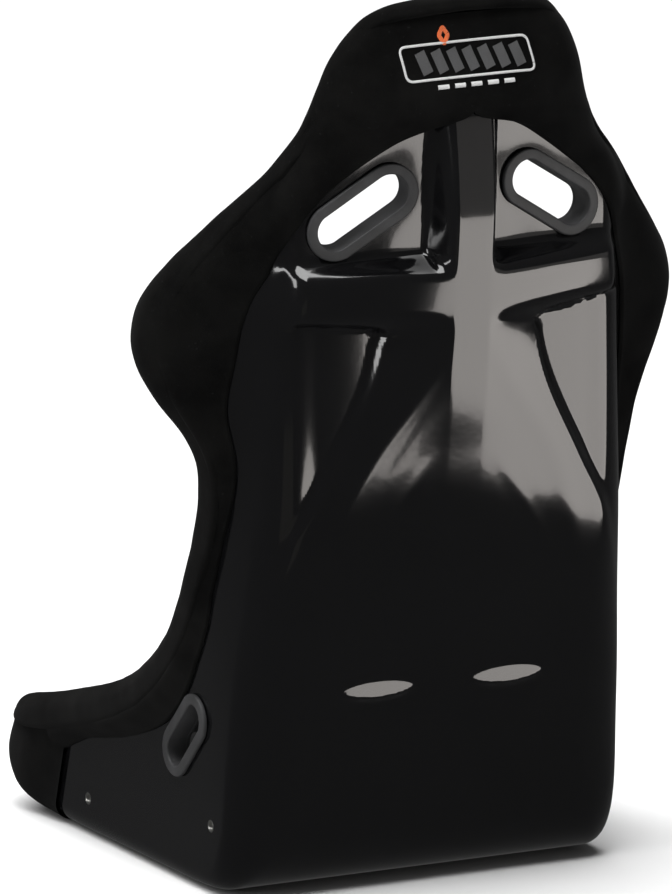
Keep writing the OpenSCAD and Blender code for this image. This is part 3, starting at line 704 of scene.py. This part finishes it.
def slot_cutter(grow):
    """All five slots as one cutting piece."""
    cutters = []
    for name, slot in SLOTS.items():
        size = (slot.length + 2 * grow, slot.width + 2 * grow)
        reach = CROTCH_REACH if name == "crotch" else CUT_REACH
        cutters.append(lay(obround("cut_" + name, *size, -reach, CUT_REACH), slot))
    pick(*cutters)
    bpy.ops.object.join()
    return cutters[0]


def cut(piece, cutter):
    """Cuts one piece out of another and removes the cutter."""
    apply(piece, "BOOLEAN", operation="DIFFERENCE", object=cutter, solver="EXACT")
    bpy.data.objects.remove(cutter)


# %% The skin as a fine grid, the inner wall as a coarse one
COARSE = 5  # cells of the fine grid in one cell of the inner wall


def walled_grid(name, outer, inner):
    """A closed piece from a fine outer grid and an inner grid COARSE times coarser."""
    r, c = outer.shape[:2]
    n, m = inner.shape[:2]
    count = r * c
    faces = grid_faces(r, c) + [tuple(v + count for v in f[::-1]) for f in grid_faces(n, m)]

    def edge(outer_line, inner_line):
        for k in range(len(inner_line) - 1):
            run = outer_line[k * COARSE:(k + 1) * COARSE + 1]
            faces.append(tuple(run[::-1]) + (inner_line[k] + count, inner_line[k + 1] + count))

    fine, few = np.arange(r * c).reshape(r, c).tolist(), np.arange(n * m).reshape(n, m).tolist()
    edge(fine[0], few[0])
    edge(fine[-1][::-1], few[-1][::-1])
    edge([row[0] for row in fine][::-1], [row[0] for row in few][::-1])
    edge([row[-1] for row in fine], [row[-1] for row in few])
    piece = new_piece(name, np.concatenate([outer.reshape(-1, 3), inner.reshape(-1, 3)]), faces)
    outward(piece)
    return piece


rows = even(0, 3, 25, 8, 35, 9.8, 15, 11.2, 70, 12, 10, 19.2, 180, 20, 10)
parts = both_sides(even(0, FLAT_END, 72, WALL_START, 18, 1, 20))
few_rows, few_parts = rows[::COARSE], parts[::COARSE]
outer = layer_points(rows[:, None], parts[None, :], 0.0)
inner = layer_points(few_rows[:, None], few_parts[None, :], float(SKIN))
shell = walled_grid("gloss_shell", outer, inner)

# %% Cut the slots and the insert holes, and shade it
INSERTS = [name for name in nodes if name.startswith("side_insert")]
BORE_RADIUS, BORE_DEPTH = 6.6 * MM, 40 * MM
cutter = slot_cutter(TUNNEL + 0.4 * MM)
bores = []
for name in INSERTS:
    low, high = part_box(name)
    middle = (low + high) / 2
    bpy.ops.object.select_all(action="DESELECT")
    bpy.ops.mesh.primitive_cylinder_add(
        vertices=ARC, radius=BORE_RADIUS, depth=BORE_DEPTH, location=middle,
        rotation=(0, math.pi / 2, 0))
    bores.append(bpy.context.active_object)
pick(cutter, *bores)
bpy.ops.object.join()
cut(shell, cutter)
smooth(shell, 50)
settle(shell, GELCOAT, ["shell"])

# %% [markdown]
# ## The upholstered rim
# On the real seat a sleeve of fabric over foam is pulled round the edge of the shell and glued
# down on both sides: a fat roll at the wings, thinner at the waist and the head. It is a sweep:
# one closed line round the edge of the skin, softened where it turns a corner, with a rounded
# outline at each step. A slow ripple and a few pull marks make it cloth and not plastic.

# %% The line round the edge of the skin
dense = np.linspace(-1, 21, 4001)
rim_s = np.clip(dense, 0, 20)
rim_t = np.where(dense < 0, 1 + dense, np.where(dense > 20, 21 - dense, 1.0))
line = skin(rim_s, rim_t)
inner = inward_normal(rim_s, rim_t)
run = np.gradient(line, axis=0)
inwards = unit(np.cross(run, -inner))
frames = np.concatenate([line, inwards, unit(np.cross(inwards, run)), dense[:, None]], axis=1)
STEP, CORNER, BELL = 4, 14.0, 50  # ring spacing, width and reach of the softening, in mm
length = np.concatenate([[0], np.cumsum(np.linalg.norm(np.diff(line, axis=0), axis=1))])
fine = np.arange(0, length[-1], 1.0)
half_loop = np.stack([np.interp(fine, length, c) for c in frames.T], axis=1)
mirror = np.array([-1, 1, 1, -1, 1, 1, -1, 1, 1, 1])
loop = np.concatenate([half_loop, (half_loop * mirror)[::-1]])
bell = np.exp(-0.5 * (np.arange(-BELL, BELL + 1) / CORNER) ** 2)
wrapped = np.concatenate([loop[-BELL:], loop, loop[:BELL]])
loop = np.stack([np.convolve(c, bell / bell.sum(), "valid") for c in wrapped.T], axis=1)
loop = loop[::STEP]
loop[:, 3:6], loop[:, 6:9] = unit(loop[:, 3:6]), unit(loop[:, 6:9])
print("rings round the rim:", len(loop))

# %% Sweep the roll
reach, rear, front, lap = roll_at(loop[:, 9]).T
angles = np.radians(np.arange(0, 181, 9))
start = 0.3 * lap
mid, low = -SKIN / 2, -(SKIN + front)
profile = [(lap + 2.0, rear - 4.0), (lap + 0.8, rear - 1.2), (lap, rear)]
profile += [(blend(lap, start, f), rear + 0.6 * np.sin(math.pi * f)) for f in (0.3, 0.65)]
for a in angles:
    tall = rear - mid if a < math.pi / 2 else mid - low
    profile.append((start - (start + reach) * np.sin(a), mid + tall * np.cos(a)))
profile += [(blend(start, lap, f), low + 0 * lap) for f in (0.35, 0.7, 1.0)]
profile += [(lap + 1.0, low + 1.5), (lap + 1.6, low + 5.0)]
across = np.stack([
    np.stack([np.broadcast_to(a, lap.shape), b], axis=1) for a, b in profile
], axis=1)
travel = np.arange(len(loop)) / len(loop) * 2 * math.pi
turn = np.linspace(0, 1, len(profile))
ripple = sum(
    size * np.sin(k * travel[:, None] + phase) * np.sin(math.pi * turn[None, :] * order + phase)
    for size, k, phase, order in ((0.3, 23, 0.4, 2), (0.2, 57, 1.7, 3), (0.12, 103, 2.6, 4))
)
middle, inwards, off_skin = loop[:, None, 0:3], loop[:, None, 3:6], loop[:, None, 6:9]
points = middle + across[..., 0:1] * inwards + across[..., 1:2] * off_skin
facing = unit(points - points.mean(axis=1, keepdims=True))
points = (points + ripple[..., None] * facing) * MM
points[..., 2] = np.maximum(points[..., 2], 0.3 * MM)
rim = grid_piece("rim_roll", points, closed=True)
smooth(rim, 60)
settle(rim, FABRIC, ["rim_cover", "rim_foam"])

# %% [markdown]
# ## Fabric on the outside of the shell
# From the roll the fabric runs inwards over the shell to a cut edge, and leaves a window of bare
# gelcoat. It swells towards the roll, so it reads as one broad soft surface. A grid on each side
# follows the window line, and the two close over the head.

# %% The rear leaf, from the window to the roll


def leaf_height(s, f):
    """Height of the fabric over the skin, for the share f of the way to the roll."""
    rear = roll_at(s)[..., 1]
    full = LEAF_GAP + CLOTH + (rear - 1.0 - LEAF_GAP - CLOTH) * ease(f) ** 0.8
    pull = 0.35 * np.sin(9 * s + 4 * f) * np.sin(math.pi * np.clip(f, 0, 1))
    return full + pull - 6 * ease((f - 1) / 0.35)


rows = even(3.1, 6, 34, 13, 80, 17, 60, 18.6, 50, 19.75, 24)
share = even(0, 0.05, 3, 1, 20, 1.25, 4)
window = np.clip(window_at(rows)[..., 0], 0, 1)
stop = edge_part(rows, roll_at(rows)[..., 3])
window = np.minimum(window, stop - 0.04)
sides = []
for side in (1, -1):
    t = window[:, None] + (stop - window)[:, None] * share[None, :]
    t = np.minimum(t, 0.99)
    depth = leaf_height(rows[:, None], share[None, :])
    points = layer_points(rows[:, None], t, -depth, COVER_SIDE)
    foot = layer_points(rows, t[:, 0], 0 * rows - 0.3)
    turned = ease(window / 0.08)[:, None]
    points[:, 0] = blend(points[:, 0], foot, turned)
    points[:, 1] = blend(points[:, 1], blend(foot, points[:, 1], 0.8), turned)
    points[..., 0] *= side
    faces = grid_faces(len(rows), len(share))
    faces = faces if side > 0 else [f[::-1] for f in faces]
    sides.append(new_piece("rear_fabric", points.reshape(-1, 3), faces))
pick(*sides)
bpy.ops.object.join()
rear_fabric = sides[0]
rear_fabric.name = "rear_fabric"
outward(rear_fabric)
apply(rear_fabric, "SOLIDIFY", thickness=CLOTH * MM, offset=0)
smooth(rear_fabric, 50)
settle(rear_fabric, FABRIC, ["rear_leaf_left", "rear_leaf_right", "head_leaf"])

# %% [markdown]
# ## Fabric round the front lip
# At the front the same fabric is pulled under the nose over a thicker pad and ends under the pan.

# %% The front leaf
NOSE = 12
rows = even(0.1, 1, 16, 3.45, 40)
half = even(0, FLAT_END, 24, WALL_START, 14, 1, 14)
stop = edge_part(rows, roll_at(rows)[..., 3] - 3)
t = up_to(both_sides(half)[None, :], stop[:, None])
under = ease((rows[:, None] - 1.2) / 0.9)
side = ease((np.abs(t) - FLAT_END) / (WALL_START - FLAT_END))
depth = LEAF_GAP + CLOTH + NOSE * blend(1, side, under)
depth = depth * (1 - 0.75 * ease((rows[:, None] - 2.2) / 1.2)) + 0.3
depth = blend(depth, np.minimum(depth, 12), ease((0.5 - rows[:, None]) / 0.4))
points = layer_points(rows[:, None], t, -depth)
points[..., 2] = np.maximum(points[..., 2], 0.4 * MM)
front_fabric = grid_piece("front_fabric", points)
smooth(front_fabric, 60)
settle(front_fabric, FABRIC, ["front_leaf"])

# %% [markdown]
# ## The lining
# The inside is lined with the same fabric over a thin foam, with seams where the flat back and
# pan meet the sides. The lining runs under the front of the roll, so its own edge never shows.

# %% The lining, with its sewn seams
SEAMS, SEAM_WIDE, SEAM_DEEP = (0.48, 0.74), 0.012, 2.2  # parts of the half section, and mm
rows = even(0.75, 6, 46, 9, 34, 19.75, 108)
half = even(0, FLAT_END, 24, WALL_START, 16, 1, 16)
stop = edge_part(rows, roll_at(rows)[..., 3] - 4)
t = up_to(both_sides(half)[None, :], stop[:, None])
shoulder = 4 * ease(rows[:, None] - 15) * (1 - ease((rows[:, None] - 17.5) / 0.5))
seam = sum(np.exp(-((np.abs(t) - part) / SEAM_WIDE) ** 2) for part in SEAMS)
depth = SKIN + LINING + CLOTH + shoulder - SEAM_DEEP * seam
points = layer_points(rows[:, None], t, depth)
lining = grid_piece("lining", points)
probe = lining.data.polygons[len(lining.data.polygons) // 2]
if probe.normal.dot(probe.center - Vector((0, -0.05, 0.4))) > 0:  # it must face the middle
    lining.data.flip_normals()
apply(lining, "SOLIDIFY", thickness=CLOTH * MM, offset=-1)
cut(lining, slot_cutter(TUNNEL + 0.2 * MM))
smooth(lining, 50)
settle(lining, CUSHION, ["lining_cloth", "lining_foam"])

# %% [markdown]
# ## Slot trims
# Each slot has a moulded trim: a flat ring with rounded edges that seats on the skin, and a thin
# tunnel through the wall. The ring starts as a round-ended prism. Both its end faces are inset by
# the width of the ring, the two inner faces are bridged to open it, and its edges are bevelled.
# The tunnel is a second prism, bored through.

# %% Model one trim and lay it in a slot


def trim(name, slot, ring, thick, depth):
    """A slot trim: ring on the surface, tunnel of this depth, lip edges rounded."""
    length, width = slot.length, slot.width
    piece = obround(name, length + 2 * ring, width + 2 * ring, 0, thick)
    pick(piece)
    bpy.ops.object.mode_set(mode="EDIT")
    bpy.ops.mesh.select_all(action="DESELECT")
    bpy.ops.object.mode_set(mode="OBJECT")
    for face in piece.data.polygons:
        face.select = abs(face.normal.z) > 0.9
    bpy.ops.object.mode_set(mode="EDIT")
    bpy.ops.mesh.inset(thickness=ring, depth=0)
    bpy.ops.object.mode_set(mode="OBJECT")
    caps = [f.index for f in piece.data.polygons if abs(f.normal.z) > 0.9 and len(f.vertices) > 4]
    for face in piece.data.polygons:
        face.select = face.index in caps
    bpy.ops.object.mode_set(mode="EDIT")
    bpy.ops.mesh.bridge_edge_loops()
    bpy.ops.mesh.select_all(action="DESELECT")
    bpy.ops.object.mode_set(mode="OBJECT")
    apply(piece, "BEVEL", width=min(1.8 * MM, 0.35 * thick), segments=4, limit_method="ANGLE",
          angle_limit=math.radians(50))
    if depth > 0:
        wall = obround("tunnel", length + 2 * TUNNEL, width + 2 * TUNNEL, -depth, 0.4 * thick)
        bore = obround("bore", length, width, -depth - 0.01, thick + 0.01)
        cut(wall, bore)
        pick(piece, wall)
        bpy.ops.object.join()
    pick(piece)
    lay(piece, slot)
    smooth(piece, 35)
    return piece


for side in ("left", "right"):
    for place, outside, inside in (("shoulder", "rear", "front"), ("lap", "outer", "inner")):
        slot = SLOTS[f"{place}_{side}"]
        ring_node, far_node = [f"{place}_trim_{face}_{side}" for face in (outside, inside)]
        gap = ((coordinates(nodes[far_node].data) - slot.centre) @ slot.out).max()
        piece = trim(f"{place}_bezel_{outside}_{side}", slot, RING_WIDE, RING_THICK, -gap)
        settle(piece, TRIM, [ring_node])
        seat = Slot(slot.centre + slot.out * gap, slot.long, -slot.short, -slot.out, slot.length,
                    slot.width)
        piece = trim(f"{place}_bezel_{inside}_{side}", seat, RING_WIDE, RING_THICK, 0)
        settle(piece, TRIM, [far_node])
crotch_depth = crotch_high[2] - RING_THICK - 0.5 * MM
piece = trim("crotch_bezel", SLOTS["crotch"], RING_WIDE, RING_THICK, crotch_depth)
settle(piece, TRIM, ["crotch_trim"])

# %% [markdown]
# ## Threaded inserts
# Four zinc-plated bushes take the bolts at the sides. The end that shows is a turned face with a
# countersunk mouth and a thread. The thread is a run of rings along the bore, each pushed in and
# out, which is what a thread looks like at this size.

# %% Turn one bush and copy it to its four places


def insert_bush(name, node):
    """A bush along X: barrel, flange and a ribbed bore, facing outwards."""
    low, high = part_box(node)
    side = 1 if low.x > 0 else -1
    centre = (low + high) / 2
    outer_x = high.x if side > 0 else low.x
    barrel, flange, bore, long = 6.5 * MM, (high.z - low.z) / 2, 4 * MM, high.x - low.x
    flange_at, flange_end = 9 * MM, 11.5 * MM
    pitch, bevel = 1.25 * MM, 0.4 * MM
    outline = [
        (0.0, bore + 1.0 * MM), (0.0, barrel - 0.5 * MM), (0.5 * MM, barrel), (flange_at, barrel),
        (flange_at, flange - bevel), (flange_at + bevel, flange), (flange_end - bevel, flange),
        (flange_end, flange - bevel), (flange_end, barrel), (long, barrel), (long, bore),
    ]
    turns = int((long - 2 * MM) / pitch)
    for k in range(turns, -1, -1):
        at = 1.0 * MM + k * pitch
        outline += [(at + 0.5 * pitch, bore + 0.35 * MM), (at, bore)]
    ring = np.linspace(0, 2 * math.pi, ARC, endpoint=False)
    rows = [
        (outer_x - side * along, centre.y + r * math.cos(a), centre.z + r * math.sin(a))
        for a in ring for along, r in outline + outline[:1]
    ]
    piece = new_piece(name, rows, grid_faces(ARC, len(outline) + 1, closed=True))
    outward(piece)
    smooth(piece, 30)
    return piece


for node in INSERTS:
    settle(insert_bush("bush_" + node[12:], node), ZINC, [node])

# %% [markdown]
# ## Cushions
# The loose cushions are foam in fabric covers. Cloth simulation makes them: a smaller pad is
# remeshed, blown up a little with air, and the movement is capped so that it keeps its size. No
# point may sink below the base it started on, and the sewn channels are pressed in afterwards.

# %% A pad on the lining, swollen by air
BASE = SKIN + LINING + CLOTH + 2
AIR, FRAMES, CLEAR = 4, 20, 0.2 * MM  # pressure, length of the simulation, gap over the base


def pad_grid(s_span, t_span, base, thick, counts):
    """Base and crowned top of a pad between stations and parts of the section."""
    f = np.linspace(0, 1, counts[0])[:, None]
    g = np.linspace(0, 1, counts[1])[None, :]
    s = blend(s_span[0], s_span[1], f)
    t = blend(t_span[0], t_span[1], g)
    crown = (1 - (2 * f - 1) ** 6) * (1 - (2 * g - 1) ** 6)
    top = base + thick * (0.4 + 0.6 * crown**0.5)
    return layer_points(s, t, base + 0 * crown), layer_points(s, t, top)


def pad_solid(name, low, high):
    """Closes the space between two grids."""
    r, c = low.shape[:2]
    n = r * c
    faces = [f[::-1] for f in grid_faces(r, c)] + [tuple(v + n for v in f) for f in grid_faces(r, c)]
    border = [j for j in range(c)] + [i * c + c - 1 for i in range(1, r)]
    border += [(r - 1) * c + j for j in range(c - 2, -1, -1)] + [i * c for i in range(r - 2, 0, -1)]
    faces += [(a, b, b + n, a + n) for a, b in zip(border, border[1:] + border[:1])]
    piece = new_piece(name, np.concatenate([low.reshape(-1, 3), high.reshape(-1, 3)]), faces)
    outward(piece)
    return piece


def swell(piece, voxel, cap, base_grid, base_up):
    """Remeshes a pad and lets air swell it, never down into its base."""
    apply(piece, "REMESH", mode="VOXEL", voxel_size=voxel)
    begin = coordinates(piece.data)
    end = begin
    cloth = piece.modifiers.new("cloth", "CLOTH")
    cloth.settings.use_pressure = True
    cloth.settings.uniform_pressure_force = AIR
    cloth.settings.effector_weights.gravity = 0
    cloth.settings.quality = 4
    cloth.collision_settings.use_collision = False
    cloth.point_cache.frame_start, cloth.point_cache.frame_end = 1, FRAMES
    for step in range(1, FRAMES + 1):
        scene.frame_set(step)
    ready = piece.evaluated_get(bpy.context.evaluated_depsgraph_get())
    end = coordinates(ready.data)
    piece.modifiers.remove(cloth)
    scene.frame_set(1)
    moved = end - begin
    size = np.linalg.norm(moved, axis=1, keepdims=True)
    points = begin + moved * np.minimum(1, cap / np.maximum(size, 1e-9))
    tree = BVHTree.FromPolygons([tuple(p) for p in base_grid.reshape(-1, 3)],
                                grid_faces(*base_grid.shape[:2]))
    for i, p in enumerate(points):
        near, normal, _, _ = tree.find_nearest(p)
        up = normal * (1 if normal.dot(Vector(base_up)) > 0 else -1)
        height = (Vector(p) - near).dot(up)
        if height < CLEAR:
            points[i] = np.array(Vector(p) + up * (CLEAR - height))
    move_points(piece, points)
    apply(piece, "CORRECTIVE_SMOOTH", factor=0.5, iterations=4, use_only_smooth=True)
    print(f"{piece.name}: swelled by up to {size.max() / MM:.1f} mm")
    return piece


def press(piece, near, width, depth, up):
    """Presses a sewn channel into the side that faces up. near gives distances to the seam."""
    normals = np.empty(len(piece.data.vertices) * 3)
    piece.data.vertices.foreach_get("normal", normals)
    normals = normals.reshape(-1, 3)
    points = coordinates(piece.data)
    facing = np.clip((normals @ np.array(up) - 0.2) / 0.4, 0, 1)
    push = depth * np.exp(-((near(points) / width) ** 2)) * facing
    move_points(piece, points - normals * push[:, None])


# %% Seat, back and head cushions
CUSHIONS = [  # name, stations, parts, thickness, cap, up, replaced
    ("seat_cushion", (1.62, 6.88), (-0.43, 0.43), 28, 7 * MM, (0, -0.3, 1),
     ["seat_cushion_cover", "seat_cushion_foam"]),
    ("back_cushion", (9.62, 14.68), (-0.43, 0.43), 23, 6 * MM, (0, -1, 0.1),
     ["back_cushion_cover", "back_cushion_foam"]),
    ("head_cushion", (18.18, 19.22), (-0.38, 0.38), 18, 5 * MM, (0, -1, -0.1),
     ["head_pad_cover", "head_pad_foam"]),
]
for name, s_span, t_span, thick, cap, up, replaced in CUSHIONS:
    low, high = pad_grid(s_span, t_span, BASE, thick, (40, 30))
    pad = swell(pad_solid(name, low, high), 5 * MM, cap, low, up)
    axis = 1 if name == "seat_cushion" else 2
    span = coordinates(pad.data)[:, axis]
    marks = np.linspace(span.min(), span.max(), 6)[1:-1] if name != "head_cushion" else []
    apply(pad, "SUBSURF", levels=1, render_levels=1)
    for mark in marks:
        press(pad, lambda p, m=mark: p[:, axis] - m, 5 * MM, 4.5 * MM, up)
    border = 0.78 * np.abs(coordinates(pad.data)[:, 0]).max()
    press(pad, lambda p, b=border: np.abs(p[:, 0]) - b, 4 * MM, 3 * MM, up)
    if name == "seat_cushion":
        slot = SLOTS["crotch"]
        size = (slot.length + 2 * TUNNEL, slot.width + 2 * TUNNEL)
        cut(pad, lay(obround("cut_crotch", *size, -CROTCH_REACH, 0.05), slot))
    smooth(pad, 60)
    settle(pad, CUSHION, replaced)

# %% Thigh and torso bolsters, made on the left and mirrored
BOLSTERS = [
    ("thigh_bolster", (1.9, 5.7), (0.727, 0.853), 20, (-1, 0, 0.2)),
    ("torso_bolster", (9.7, 14.8), (0.727, 0.893), 20, (-1, -0.3, 0)),
]
for name, s_span, t_span, thick, up in BOLSTERS:
    low, high = pad_grid(s_span, t_span, BASE - 2, thick, (40, 14))
    pad = swell(pad_solid(name + "_pad_left", low, high), 5 * MM, 4 * MM, low, up)
    apply(pad, "SUBSURF", levels=1, render_levels=1)
    smooth(pad, 60)
    copy = new_piece(name + "_pad_right", coordinates(pad.data) * (-1, 1, 1),
                     [tuple(f.vertices)[::-1] for f in pad.data.polygons])
    outward(copy)
    smooth(copy, 60)
    settle(pad, CUSHION, [name + "_left"])
    settle(copy, CUSHION, [name + "_right"])

# %% [markdown]
# ## The badge on the head
# The back of the head carries a small embroidered badge in plain shapes: a pale outline, seven
# slanted grey bars, a row of pale dashes under it and an orange diamond over it. Each stroke is a
# low half-round ribbon that follows the fabric, with fine ridges across it for the stitches.

# %% Lay strokes of satin stitch on the head
BADGE_Z, BADGE_W, BADGE_H = 851, 146, 34
BARS = np.linspace(-54, 48, 7)
DASHES = np.linspace(-42, 30, 5)
MARK_X = 24
station_z = back_at(np.linspace(12, 20, 400))[:, 1]


def on_head(x, z, lift):
    """Points on the fabric of the head at X and Z, raised by lift, in millimetres."""
    s = np.interp(z, station_z, np.linspace(12, 20, 400))
    half_flat = np.abs(bare_skin(s, np.full_like(s, FLAT_END))[..., 0])
    t = FLAT_END * x / half_flat
    share = np.clip(np.abs(t) / edge_part(s, roll_at(s)[..., 3]), 0, 1)
    return layer_points(s, t, -(leaf_height(s, share) + CLOTH / 2 + lift), COVER_SIDE)


def stroke(outline, width, height, closed=True, pitch=0.7):
    """A ribbon of satin stitch along an outline given in X and Z."""
    path = np.array(outline + outline[:1] if closed else outline, float)
    run = np.concatenate([[0], np.cumsum(np.linalg.norm(np.diff(path, axis=0), axis=1))])
    along = np.arange(0, run[-1], pitch)
    line = np.stack([np.interp(along, run, c) for c in path.T], axis=1)
    heading = unit(np.gradient(line, axis=0))
    normal = np.stack([-heading[:, 1], heading[:, 0]], axis=1)
    ridges = 0.8 + 0.2 * (np.arange(len(line)) % 2)
    sides = np.linspace(-1, 1, 7)
    spots = line[:, None] + sides[None, :, None] * normal[:, None] * width / 2
    lift = np.sqrt(np.maximum(0, 1 - sides**2))[None, :] * height * ridges[:, None]
    grid = on_head(spots[..., 0], spots[..., 1], lift)
    return grid, grid_faces(len(line), len(sides))


def rounded(corners, radius, steps=6):
    """A closed outline with its corners rounded."""
    out = []
    for k, corner in enumerate(corners):
        c = np.array(corner, float)
        before = unit(np.array(corners[k - 1], float) - c)
        after = unit(np.array(corners[(k + 1) % len(corners)], float) - c)
        for f in np.linspace(0, 1, steps):
            a, b = c + before * radius, c + after * radius
            out.append(tuple((1 - f) ** 2 * a + 2 * f * (1 - f) * c + f**2 * b))
    return out


def badge_piece(name, strokes, material, replaced=()):
    """Joins strokes into one piece of embroidery."""
    points, faces, count = [], [], 0
    for grid, quads in strokes:
        points.append(grid.reshape(-1, 3))
        faces += [tuple(v + count for v in q) for q in quads]
        count += grid.shape[0] * grid.shape[1]
    piece = new_piece(name, np.concatenate(points), faces)
    outward(piece)
    smooth(piece, 70)
    return settle(piece, material, replaced)


w, low, high = BADGE_W / 2, BADGE_Z - BADGE_H / 2, BADGE_Z + BADGE_H / 2
border = rounded([(-w, low), (w - 7, low), (w, high), (-w + 7, high)], 7)
badge_piece("badge_outline", [stroke(border, 2.4, 0.9)], WHITE, ["head_emblem"])
bars = [stroke([(x - 4, low + 6), (x + 4, high - 6)], 11, 0.9, closed=False) for x in BARS]
badge_piece("badge_bars", bars, GREY)
dashes = [stroke([(x - 6, low - 8), (x + 6, low - 8)], 4.2, 0.8, closed=False) for x in DASHES]
badge_piece("badge_dashes", dashes, WHITE)
diamond = [
    (MARK_X - 5, high + 7), (MARK_X, high - 1), (MARK_X + 5, high + 7), (MARK_X, high + 15)
]
badge_piece("badge_mark", [stroke(rounded(diamond, 1.5), 4.5, 0.9)], ORANGE)

# %% [markdown]
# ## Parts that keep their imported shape
# The plates and the hook tape are hidden in the seat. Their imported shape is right, so they only
# get their finish.

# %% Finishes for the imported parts
KEPT = {"side_plate": STEEL, "cushion_strips": HOOK}
replaced = {n for piece in made for n in piece.get("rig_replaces", [])}
for name, node in nodes.items():
    if name in replaced:
        continue
    material = next((m for key, m in KEPT.items() if key in name), FABRIC)
    node.data.materials.clear()
    node.data.materials.append(material)
    print("kept", name, "in", material.name)

# %% [markdown]
# ## Studio
# A pale floor, a soft light from above, a narrow strip on the left and a broad sky light. Three
# cards glow behind the seat, and only reflections see them. The low one is the bright shape on the
# spine and the right panel. The high one over it is ten times weaker, and the dim one on the left
# is weaker still.

# %% Floor, lights and world
bpy.ops.object.select_all(action="DESELECT")
bpy.ops.mesh.primitive_plane_add(size=60, location=(0, 0, -0.0005))
floor = bpy.context.active_object
floor.name = "studio_floor"
paper = Finish("pale_paper", Roughness=0.9, Specular_IOR_Level=0.1)
paper.use(Base_Color=paper.mix(paper.noise(3, 3, 0.5), (0.86, 0.86, 0.86), (0.9, 0.9, 0.9)))
floor.data.materials.append(paper.material)
floor.visible_glossy = False


def card(name, centre, size, face, strength, tint):
    """A glowing card that is seen only in reflections."""
    bpy.ops.object.select_all(action="DESELECT")
    bpy.ops.mesh.primitive_plane_add(size=1, location=(0, 0, 0))
    piece = bpy.context.active_object
    piece.name = name
    toward = (Vector(face) - Vector(centre)).normalized()
    turn = toward.to_track_quat("Z", "Y").to_matrix().to_4x4()
    piece.data.transform(Matrix.Translation(centre) @ turn @ Matrix.Diagonal((*size, 1, 1)))
    glow = bpy.data.materials.new(name)
    glow.use_nodes = True
    shader = glow.node_tree.nodes["Principled BSDF"]
    shader.inputs["Base Color"].default_value = (0, 0, 0, 1)
    shader.inputs["Specular IOR Level"].default_value = 0
    shader.inputs["Emission Color"].default_value = (*tint, 1)
    shader.inputs["Emission Strength"].default_value = strength
    piece.data.materials.append(glow)
    piece.visible_camera = piece.visible_diffuse = piece.visible_shadow = False


def area(name, centre, target, size, power):
    """A soft rectangular lamp that looks at a target."""
    lamp = bpy.data.lights.new(name, "AREA")
    lamp.shape = "RECTANGLE"
    lamp.size, lamp.size_y = size
    lamp.energy = power
    piece = bpy.data.objects.new(name, lamp)
    scene.collection.objects.link(piece)
    piece.location = centre
    piece.rotation_euler = (Vector(target) - Vector(centre)).to_track_quat("-Z", "Y").to_euler()


MIDDLE = Vector((0, 0, 0.45))
card("low_card", (-1.02, 1.55, -0.01), (1.66, 0.56), (0, 0.2, 0.45), 4.2, (1, 0.95, 0.91))
card("high_card", (-1.0, 1.5, 0.62), (1.6, 0.6), (0, 0.2, 0.6), 0.42, (1, 0.96, 0.93))
card("dim_card", (0.75, 1.6, -0.05), (0.9, 0.45), (0, 0.2, 0.45), 0.14, (1, 0.98, 0.9))
area("top_light", (0.6, 0.6, 3.0), MIDDLE, (1.6, 1.6), 55)
area("left_strip", (2.6, 0.6, 1.3), MIDDLE, (0.3, 1.6), 10)
sun = bpy.data.lights.new("sky_light", "SUN")
sun.energy, sun.angle = 3.6, math.radians(70)
sky = bpy.data.objects.new("sky_light", sun)
scene.collection.objects.link(sky)
sky.rotation_euler = (math.radians(12), math.radians(10), 0)
sky.visible_glossy = False
world = bpy.data.worlds.new("studio")
scene.world = world
world.use_nodes = True
backdrop = world.node_tree.nodes["Background"]
backdrop.inputs["Color"].default_value = (1, 1, 1, 1)
backdrop.inputs["Strength"].default_value = 0.075
scene.view_settings.view_transform = "Standard"

# %% [markdown]
# ## Camera
# The seat is seen from behind and a little to one side, from slightly above and from far away, so
# that its lines hardly converge.

# %% Place the camera
AIM = Vector((0, -0.061, 0.403))
DISTANCE, VIEW_HIGH, FILM = 18.0, 0.894, 24.0
AZIMUTH, RAISE = math.radians(27.5), math.radians(13)
lens = bpy.data.cameras.new("camera")
lens.sensor_fit, lens.sensor_height = "VERTICAL", FILM
lens.lens = FILM * DISTANCE / VIEW_HIGH
lens.clip_end = 200
camera = bpy.data.objects.new("camera", lens)
scene.collection.objects.link(camera)
flat = math.cos(RAISE)
toward = Vector((math.sin(AZIMUTH) * flat, math.cos(AZIMUTH) * flat, math.sin(RAISE)))
camera.location = AIM + toward * DISTANCE
camera.rotation_euler = (-toward).to_track_quat("-Z", "Y").to_euler()
scene.camera = camera
print("camera at", [round(v, 2) for v in camera.location])
